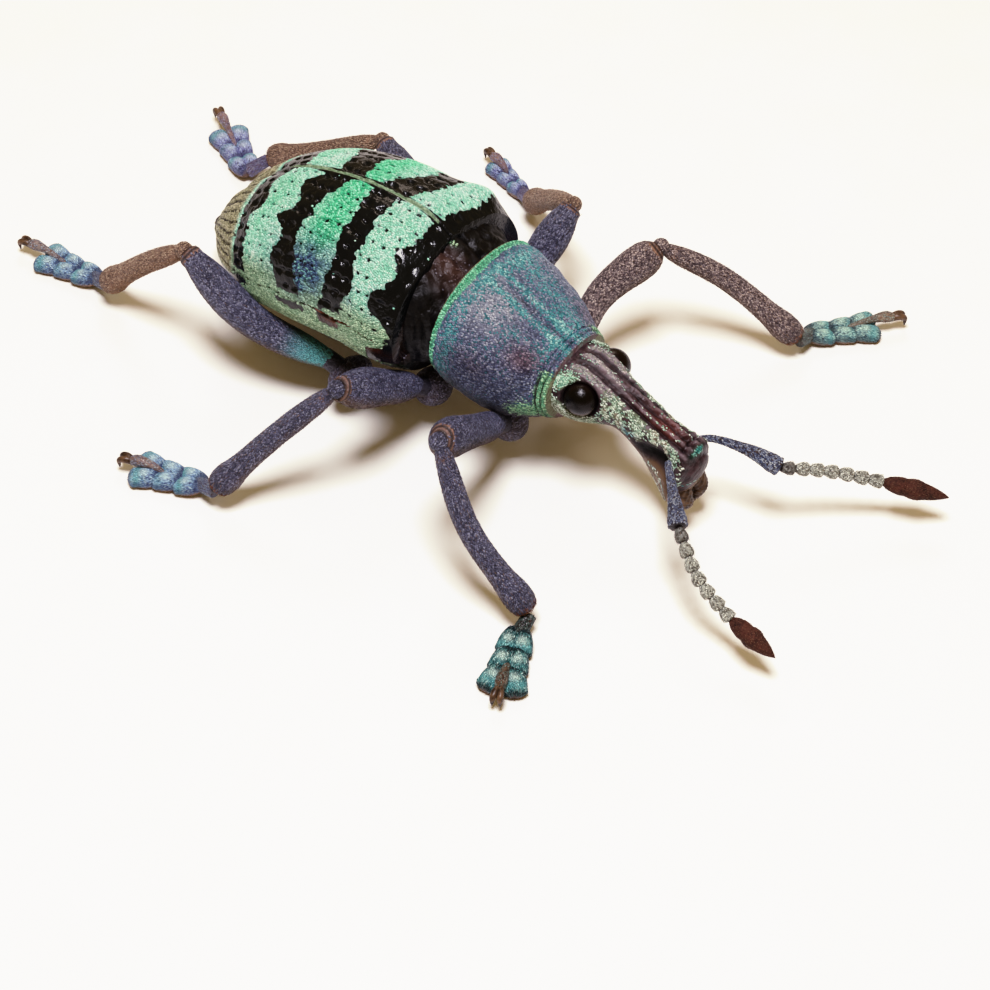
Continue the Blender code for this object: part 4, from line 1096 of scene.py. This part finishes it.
def leg_materials(name, scale_tones, shell, roughness=0.45, metallic=0.08):
    """The shell of a leg part, brown beneath and dull with a bed for the scales above, and the scales over
    it, of several pearly tones, so that the part looks dusted and not painted. The bed is the scales' tones
    darkened as painted shade between them, and both take a painted sheen, a highlight in the palest tone,
    where marked."""
    materials = []
    for kind in ("shell", "scales"):
        material, tree, shader = new_material(f"{name}_{kind}", Specular_IOR_Level=0.45, Roughness=roughness,
                                              Metallic=metallic if kind == "scales" else 0.0)
        chance, rise = cells(tree, 0.1)
        cloud = speckle(tree, 0.6, 4.0)
        picked = masked(tree, "chance") if kind == "scales" else chance
        # Where marked, the palest tone is laid on as a painted highlight
        tone = paint(tree, tones(tree, picked, *scale_tones), (cloud, 0.2, scale_tones[0]),
                     ("tinge", "70b8bc"), ("sheen", scale_tones[-1]), ("edge", 0.8, scale_tones[0]))
        if kind == "shell":
            bare = paint(tree, shell, (cloud, 0.6, "33241f"))
            # The bed's darker tones are painted shade in the gaps between scales
            tone = paint(tree, tone, (0.4, "1a1620"), ("under", bare), ("joint", "1e1412"),
                         ("pale", "9a765c"))
            feed(tree, shader, Normal=raised(tree, summed(tree, rise, 0.6, cloud), 0.03))
        else:
            tone = paint(tree, tone, ("under", 0.7, shell))
        feed(tree, shader, Base_Color=tone)
        materials.append(material)
    return materials


def hair_material():
    """Dull brown bristles, redder at the tibia's end."""
    material, tree, shader = new_material("stiff_hair", Roughness=0.5, Specular_IOR_Level=0.4)
    chance = masked(tree, "chance")
    brown = tones(tree, chance, "3a2a24", "6f5442", "a08468")
    red = tones(tree, chance, "4a2418", "7a4424", "a8703c")
    feed(tree, shader, Base_Color=paint(tree, brown, ("fringe", red)))
    return material


def bowed(start, end, bow=(0, 0, 0)):
    """A path from start to end, bowed in the middle."""
    return ((0, start), (0.5, (start + end) / 2 + np.array(bow)), (1, end))


def facing_down(rings, low=-0.2, high=-0.75):
    """How far each point lies on the underside of its own ring, from 0 to 1."""
    away = rings - rings.mean(1, keepdims=True)
    away /= np.maximum(np.linalg.norm(away, axis=-1, keepdims=True), 1e-9)
    return ease(low, high, away[..., 2])


def place_along(rings):
    """0 at the first ring and 1 at the last."""
    return np.broadcast_to(np.linspace(0, 1, rings.shape[0])[:, None], rings.shape[:2])


def leg_marks(parts, **given):
    """Marks for the parts of a leg, 0 where none are given."""
    return {mark: given.get(mark, [0.0] * len(parts)) for mark in LEG_MARKS}


def leg_scales_grow(at, chance):
    """Scales thin out on the underside and leave the joints bare."""
    return (chance > 0.1 + 0.45 * at["under"]) & (at["joint"] < 0.35) & (at["pale"] < 0.6)


def most_grow(at, chance):
    """Seven hairs in ten, so that their rows don't show."""
    return chance > 0.3


def hairs(name, parts, kind, slot, grows=most_grow, fringe=None, seed=2):
    """Stiff hairs over closed skins. fringe marks the points that bear a denser, redder brush."""
    coat(name, parts, {"fringe": fringe or [0.0] * len(parts)}, grows, hair, slot, HAIR, **kind, seed=seed,
         scatter=0.2)


def make_coxa_and_femur(name, materials):
    """The ball at the hip, and the thigh with the short ring, or trochanter, that joins it to the ball."""
    row, side_name = name.split("_")
    x, y, z = COXA_PLACES[row]
    coxa = np.array((SIDES[side_name] * x, y, z))
    rings = posed(ball(coxa, COXA_SIZES[row], 36, 44))
    marks = leg_marks([rings], under=[0.3])
    clad(f"coxa_{name}", [rings], marks, materials, "leg", leg_scales_grow, COXA_SCALES)
    leg = LEGS[name]
    hip, knee = posed(coxa) + CENTRE, np.array(leg.knee)
    thigh = (knee - hip) / np.linalg.norm(knee - hip)
    start = hip + thigh * (1 / np.linalg.norm(thigh / COXA_SIZES[row]) + TROCHANTER_REACH)
    radii = FRONT_THIGH if row == "front" else THIGH
    widths = tuple((t, THIGH_FLATNESS * radius) for t, radius in radii)
    rings = limb(bowed(start, knee - thigh * 0.1, leg.thigh_bow), radii, widths, 120, 60) - CENTRE
    stem = ((0, hip + thigh * TROCHANTER_REACH), (1, start + thigh * 0.4))
    stem = limb(stem, ((0, 0.5), (1, 0.45)), None, 16, 40) - CENTRE
    at = place_along(rings)
    marks = leg_marks([rings, stem], under=[facing_down(rings, 0.1, -0.7) * 0.9, facing_down(stem)],
                      joint=[np.maximum(bell(at, 0.972, 0.01), 0.9 * ease(0.985, 0.99, at)), 0.5],
                      pale=[np.maximum(0.8 * bell(at, 0.955, 0.008), 0.5 * bell(at, 0.985, 0.006)), 0.0],
                      tinge=[0.9 * ease(0.32, 0.08, at) * (row == "hind"), 0.0])
    clad(f"femur_{name}", [rings, stem], marks, materials, "leg", leg_scales_grow, THIGH_SCALES)
    hairs(f"hairs_femur_{name}", [rings], THIGH_HAIRS, "leg")


def make_tibia(name, materials):
    """The shin, with the ball that turns in the knee, thin hairs, and a fringe at its end."""
    knee, ankle = np.array(LEGS[name].knee), np.array(LEGS[name].ankle)
    shin = (ankle - knee) / np.linalg.norm(ankle - knee)
    path = bowed(knee + shin * 0.15, ankle - shin * 0.15, LEGS[name].shin_bow)
    rings = limb(path, SHIN, None, 110, 50) - CENTRE
    knob = ball(knee + shin * 0.03 - CENTRE, (KNEE_BALL,) * 3, 30, 36)
    at = place_along(rings)
    # A painted highlight along the top of the violet tibiae
    sheen = 0.5 * facing_down(rings, 0.6, 1.0) * bell(at, 0.5, 0.35) * (materials is violet)
    marks = leg_marks([rings, knob], under=[facing_down(rings, 0.35, -0.75) * 0.85, 0.0],
                      joint=[np.maximum(ease(0.05, 0.0, at), 0.8 * ease(0.98, 1, at)), 0.32],
                      pale=[0.4 * bell(at, 0.075, 0.015), 0.0], edge=[0.5 * ease(0.86, 0.96, at), 0.0],
                      sheen=[sheen, 0.0])
    clad(f"tibia_{name}", [rings, knob], marks, materials, "leg", leg_scales_grow, SHIN_SCALES)
    hairs(f"hairs_tibia_{name}", [rings], SHIN_HAIRS, "leg")
    hairs(f"fringe_tibia_{name}", [rings], FRINGE_HAIRS, "leg",
          lambda marks, chance: (marks["fringe"] > 0.5) & (chance > 0.35), [1.0 * (at > 0.955)], 4)


def foot_lobe(start, end, widths):
    """One lobe of a foot segment: a low cushion, flat where it rests on the floor."""
    rings = limb(bowed(start, end), LOBE_HEIGHTS, widths, 32, 30)
    rings[..., 2] = np.maximum(rings[..., 2], 0.0)
    return rings


def hook(base, ahead, out):
    """One claw that leaves its base ahead and outwards and curls down to a point."""
    up = np.array((0, 0, 1.0))
    path = ((0, base - 0.1 * ahead), (0.35, base + 0.26 * ahead + 0.12 * out + 0.09 * up),
            (0.7, base + 0.55 * ahead + 0.17 * out - 0.05 * up),
            (1, base + 0.56 * ahead + 0.18 * out - 0.5 * up))
    return limb(path, ((0, 0.19), (0.4, 0.17), (0.75, 0.11), (1, 0.02)), None, 40, 20)


def make_foot(name, materials):
    """Three segments of two lobes, the stem to the ankle, and the slim last segment with its claws."""
    leg = LEGS[name]
    ankle, heel, toe = np.array(leg.ankle), np.array((*leg.heel, 0.0)), np.array((*leg.toe, 0.0))
    reach = np.linalg.norm(toe - heel)
    ahead = (toe - heel) / reach
    side = np.cross(ahead, (0, 0, 1))

    def at(forward, across=0.0, height=0.0):
        return heel + forward * ahead + across * leg.spread * side + np.array((0, 0, height))

    lobes = []
    for start, end, near, far, half_width, height in SEGMENTS:
        widths = tuple((t, share * half_width * leg.spread) for t, share in LOBE_WIDTHS)
        for across in (-1, 1):
            base, tip = at(start * reach, near * across, height), at(end * reach, far * across, 0.3)
            lobes.append(foot_lobe(base, tip, widths))
    stem = limb(bowed(ankle - (0, 0, 0.1), at(0.3, 0, 0.5)), ((0, 0.3), (1, 0.36)), None, 24, 30)
    end = reach + leg.last_reach
    shaft = ((0, at(0.6 * reach, 0, 0.5)), (0.55, at(end - 0.6, 0, 0.84)), (0.85, at(end + 0.1, 0, 0.84)),
             (1, at(end + CLAW_PLACE, 0, CLAW_HEIGHT)))
    shaft = limb(shaft, ((0, 0.14), (0.5, 0.17), (0.88, 0.26), (1, 0.2)), None, 50, 26)
    parts = [part - CENTRE for part in lobes + [stem, shaft]]
    # Each lobe is dark round its rim, has a painted highlight in its middle and is turquoise before its end
    edge, tinge, sheen = [], [], []
    for index, lobe in enumerate(lobes):
        across = np.abs(((lobe - lobe.mean(1, keepdims=True)) * side).sum(-1))
        outer = across / np.maximum(across.max(1, keepdims=True), 1e-6)
        along = place_along(lobe)
        ends = 1.2 * ease(0.88, 0.97, along) + 1.2 * ease(0.26, 0.12, along)
        edge.append(np.clip(0.8 * ease(0.72, 1.0, outer) + ends, 0, 1))
        tinge.append(0.7 * bell(along, 0.72, 0.16) * (1 - 0.6 * ((index // 2) % 2)))
        sheen.append(0.9 * bell(along, 0.5, 0.14) * bell(outer, 0.15, 0.3))
    marks = leg_marks(parts, under=[facing_down(lobe, 0.0, -0.5) for lobe in lobes] + [0.3, 0.7],
                      edge=edge + [0.8, 0.3], tinge=tinge + [0.0, 0.0], sheen=sheen + [0.0, 0.0])
    clad(f"tarsus_{name}", parts, marks, materials, "foot",
         lambda marks, chance: chance > 0.06 + 0.9 * marks["under"], FOOT_SCALES)
    hairs(f"soles_{name}", parts[:LOBES], SOLE_HAIRS, "foot",
          lambda marks, chance: (marks["fringe"] > 0.5) & (chance > 0.2),
          [1.0 * (part[..., 2] < SOLE_HEIGHT) for part in parts[:LOBES]], 6)
    base = at(end + CLAW_PLACE, 0, CLAW_HEIGHT)
    claws = [hook(base, ahead, turn * leg.spread * side) - CENTRE for turn in (-1, 1)]
    skin(f"claws_{name}", claws, horn, "claw")


hair = hair_material()
violet = leg_materials("violet_leg", ("373847", "4b4d61", "5e6077", "73758b", "8d90a3"), "6e5646")
ochre = leg_materials("ochre_leg", ("6a564a", "826c5e", "967f6e", "a9937f", "baa691"), "8a6238")
grey = leg_materials("grey_brown_leg", ("443a3c", "665a5c", "847776", "a0928e", "baaca6"), "7a5c44")
pearly = leg_materials("pearly_foot", ("3c4668", "86a6d2", "9cc0e4", "b4d6f0", "cfeaf6"), "8a6c50", 0.32, 0.2)
teal = leg_materials("teal_foot", ("10191e", "2c5658", "44787a", "6aa4a0", "d0ece8"), "6a4c34", 0.28, 0.25)
lilac = leg_materials("lilac_foot", ("46466a", "8c90cc", "a2aee0", "b6c6ee", "cedff8"), "8a6c50", 0.32, 0.2)
turquoise = leg_materials("turquoise_foot", ("38464e", "74989e", "92b8ba", "aed4ce", "cdeee6"), "8a6c50",
                          0.32, 0.2)
THIGH_COATS = {"front_left": grey}
SHIN_COATS = {"middle_left": ochre, "hind_left": ochre, "hind_right": ochre, "front_left": grey}
FOOT_COATS = {"front_right": teal, "middle_left": lilac, "hind_left": lilac, "front_left": turquoise}
for leg_name in LEGS:
    make_coxa_and_femur(leg_name, THIGH_COATS.get(leg_name, violet))
    make_tibia(leg_name, SHIN_COATS.get(leg_name, violet))
    make_foot(leg_name, FOOT_COATS.get(leg_name, pearly))


# Antennae. Each has a scaled first joint that comes out of the groove in the snout, seven pale beads,
# and a dull dark-brown club of joints fused together.

# Root, elbow, wrist and tip of each
ANTENNA_JOINTS = {
    "right": ((-1.45, -13.1, 4.45), (-3.6, -15.1, 3.95), (-5.05, -18.95, 2.0), (-5.35, -21.4, 1.6)),
    "left": ((1.45, -13.25, 4.0), (2.4, -16.5, 3.4), (5.4, -20.1, 2.2), (6.8, -22.75, 1.7)),
}
SCAPE_BOWS = {"right": (0, 0, 0.1), "left": (0, 0, 0.28)}
ANTENNA_BOWS = {"right": (-0.45, 0.05, 0.1), "left": (0, 0.1, 0.15)}
BEADS = 7
SCAPE = ((0, 0.14), (0.1, 0.15), (0.4, 0.21), (0.75, 0.36), (0.93, 0.41), (0.99, 0.34), (1, 0.25))
# One bead's half widths, by its share of the way along
BEAD = ((0.02, 0.17), (0.25, 0.23), (0.7, 0.3), (0.9, 0.27))
CLUB = ((0, 0.14), (0.06, 0.25), (0.2, 0.38), (0.3, 0.41), (0.34, 0.4), (0.45, 0.46), (0.57, 0.43),
        (0.6, 0.4), (0.75, 0.3), (0.93, 0.12), (1, 0.02))
SCAPE_SCALES = {"size": (0.06, 0.035, 0.012), "spacing": 0.08, "lift": 0.15}
BEAD_SCALES = {"size": (0.06, 0.03, 0.012), "spacing": 0.08, "lift": 0.2}
BEAD_HAIRS = {"size": (0.16, 0.009, 0.009), "spacing": 0.16, "lift": 0.35}
CLUB_HAIRS = {"size": (0.09, 0.008, 0.008), "spacing": 0.09, "lift": 0.25}


def club_material():
    """Fine felt of short hairs over brown horn, which stays dull and dark at every angle."""
    material, tree, shader = new_material("felted_club", Roughness=0.75, Specular_IOR_Level=0.25)
    felt = speckle(tree, 0.09, 3.0)
    cloud = speckle(tree, 0.5, 3.0, 0.01)
    feed(tree, shader, Base_Color=paint(tree, "2b1712", (cloud, "4a2a20"), (felt, 0.4, "6b4a3c")),
         Normal=raised(tree, felt, 0.02))
    return material


def make_antenna(name):
    """The scape, which ends inside the snout's groove, the beads of the funicle as one skin, and the club."""
    root, elbow, wrist, tip = (np.array(point) for point in ANTENNA_JOINTS[name])
    inner = root + (elbow - root) * -0.06 - (SIDES[name] * 0.2, -0.15, 0.1)
    path = ((0, inner), (0.12, root), (0.5, (root + elbow) / 2 + np.array(SCAPE_BOWS[name])), (1, elbow))
    rings = limb(path, SCAPE, None, 100, 36) - CENTRE
    marks = leg_marks([rings], under=[0.6 * facing_down(rings)], joint=[ease(0.97, 1, place_along(rings))])
    clad(f"scape_{name}", [rings], marks, scape_coat, "leg", leg_scales_grow, SCAPE_SCALES)
    stops = tuple(((bead + t) / BEADS, radius) for bead in range(BEADS) for t, radius in BEAD)
    rings = limb(bowed(elbow, wrist, ANTENNA_BOWS[name]), (*stops, (1, 0.12)), None, 260, 32) - CENTRE
    at = place_along(rings)
    joints = 0.55 * ease(1.05 / BEADS, 0.95 / BEADS, at) + 0.8 * bell((at * BEADS) % 1, 0.0, 0.07)
    marks = leg_marks([rings], under=[0.5 * facing_down(rings)], joint=[joints])
    clad(f"funicle_{name}", [rings], marks, beads_coat, "feeler", leg_scales_grow, BEAD_SCALES)
    hairs(f"hairs_funicle_{name}", [rings], BEAD_HAIRS, "feeler")
    rings = limb(bowed(wrist, tip), CLUB, None, 90, 36) - CENTRE
    skin(f"club_{name}", [rings], club_coat, "club")
    hairs(f"hairs_club_{name}", [rings], CLUB_HAIRS, "club")


beads_coat = leg_materials("pale_beads", ("5a584c", "8f9084", "b4b8ac", "d2d8ce", "eef2ea"), "8a6a4a", 0.5)
scape_coat = leg_materials("slate_scape", ("4a3c34", "3c4358", "5f6b88", "8792a8", "b4bcc4"), "6a5240")
club_coat = club_material()
for side_name in SIDES:
    make_antenna(side_name)


# The floor is plain pale card, a wide sheet that the feet stand on. One large soft light hangs above it, a
# weak one behind it to the right, and a dim warm sky fills the shadows.

FLOOR_REACH = 1.5  # Metres
# The picture's tones, as levels from 0 to 1: deep blacks, bright middle tones and soft whites
TONE_LINE = ((0.02, 0.011), (0.08, 0.07), (0.25, 0.29), (0.6, 0.72), (0.9, 0.9), (1.25, 0.965))
TONE_END = (2.0, 0.99)
# Green and blue are a little lower in pale tones, as the photo's shadows have yellow edges
GREEN_LINE = ((0.8, 0.785), (0.96, 0.957))
BLUE_LINE = ((0.35, 0.345), (0.6, 0.55), (0.8, 0.7), (0.9, 0.835), (0.96, 0.948))
CAMERA_PLACE, CAMERA_TARGET, CAMERA_LENS = (-61.54, -49.23, 83.1), (-4.149, -5.643, 0.0), 87.75


def make_floor():
    """Matt near-white card with the faintest grain, so that only the shadows show on it."""
    material, tree, shader = new_material("pale_card", Roughness=0.7, Specular_IOR_Level=0.2)
    tone = speckle(tree, 6.0, 3.0)
    feed(tree, shader, Base_Color=paint(tree, "f6f6f6", (tone, 0.25, "f2f0ec")),
         Normal=raised(tree, tone, 0.02))
    mesh = bpy.data.meshes.new("floor")
    corners = [(x * FLOOR_REACH, y * FLOOR_REACH, 0) for x, y in ((-1, -1), (1, -1), (1, 1), (-1, 1))]
    mesh.from_pydata(corners, [], [(0, 1, 2, 3)])
    mesh.materials.append(material)
    linked("floor", mesh)


def aim(thing, place, target):
    """Stands a light or camera at a place and turns it to a target, both in millimetres."""
    place, target = Vector(place) * MM, Vector(target) * MM
    thing.location = place
    thing.rotation_euler = (target - place).to_track_quat("-Z", "Y").to_euler()
    bpy.context.scene.collection.objects.link(thing)


def area_light(name, place, size, power, hexadecimal):
    """A round soft light of a size in millimetres, which shines at the beetle."""
    light = bpy.data.lights.new(name, "AREA")
    light.shape = "DISK"
    light.size = size * MM
    light.energy = power
    light.color = colour(hexadecimal)[:3]
    aim(bpy.data.objects.new(name, light), place, (0, 0, 0))


make_floor()
area_light("key", (-34, -20, 188), 64, 0.37, "fafaff")
area_light("side", (120, 90, 150), 70, 0.06, "fff2dc")
world = bpy.data.worlds.new("sky")
world.use_nodes = True
world.node_tree.nodes["Background"].inputs["Color"].default_value = colour("ffdf98")
world.node_tree.nodes["Background"].inputs["Strength"].default_value = 0.31
bpy.context.scene.world = world
view = bpy.context.scene.view_settings
view.view_transform = "Standard"
view.use_curve_mapping = True
view.curve_mapping.use_clip = False
view.curve_mapping.clip_max_x = 3.0
view.curve_mapping.curves[3].points[-1].location = TONE_END
for index, levels in ((1, GREEN_LINE), (2, BLUE_LINE), (3, TONE_LINE)):
    for place, level in levels:
        view.curve_mapping.curves[index].points.new(place, level)
view.curve_mapping.update()

# The camera stands at the photo's angle and distance
camera = bpy.data.cameras.new("camera")
camera.lens = CAMERA_LENS
camera.clip_start = 0.001
camera_object = bpy.data.objects.new("camera", camera)
aim(camera_object, CAMERA_PLACE - CENTRE, CAMERA_TARGET - CENTRE)
bpy.context.scene.camera = camera_object
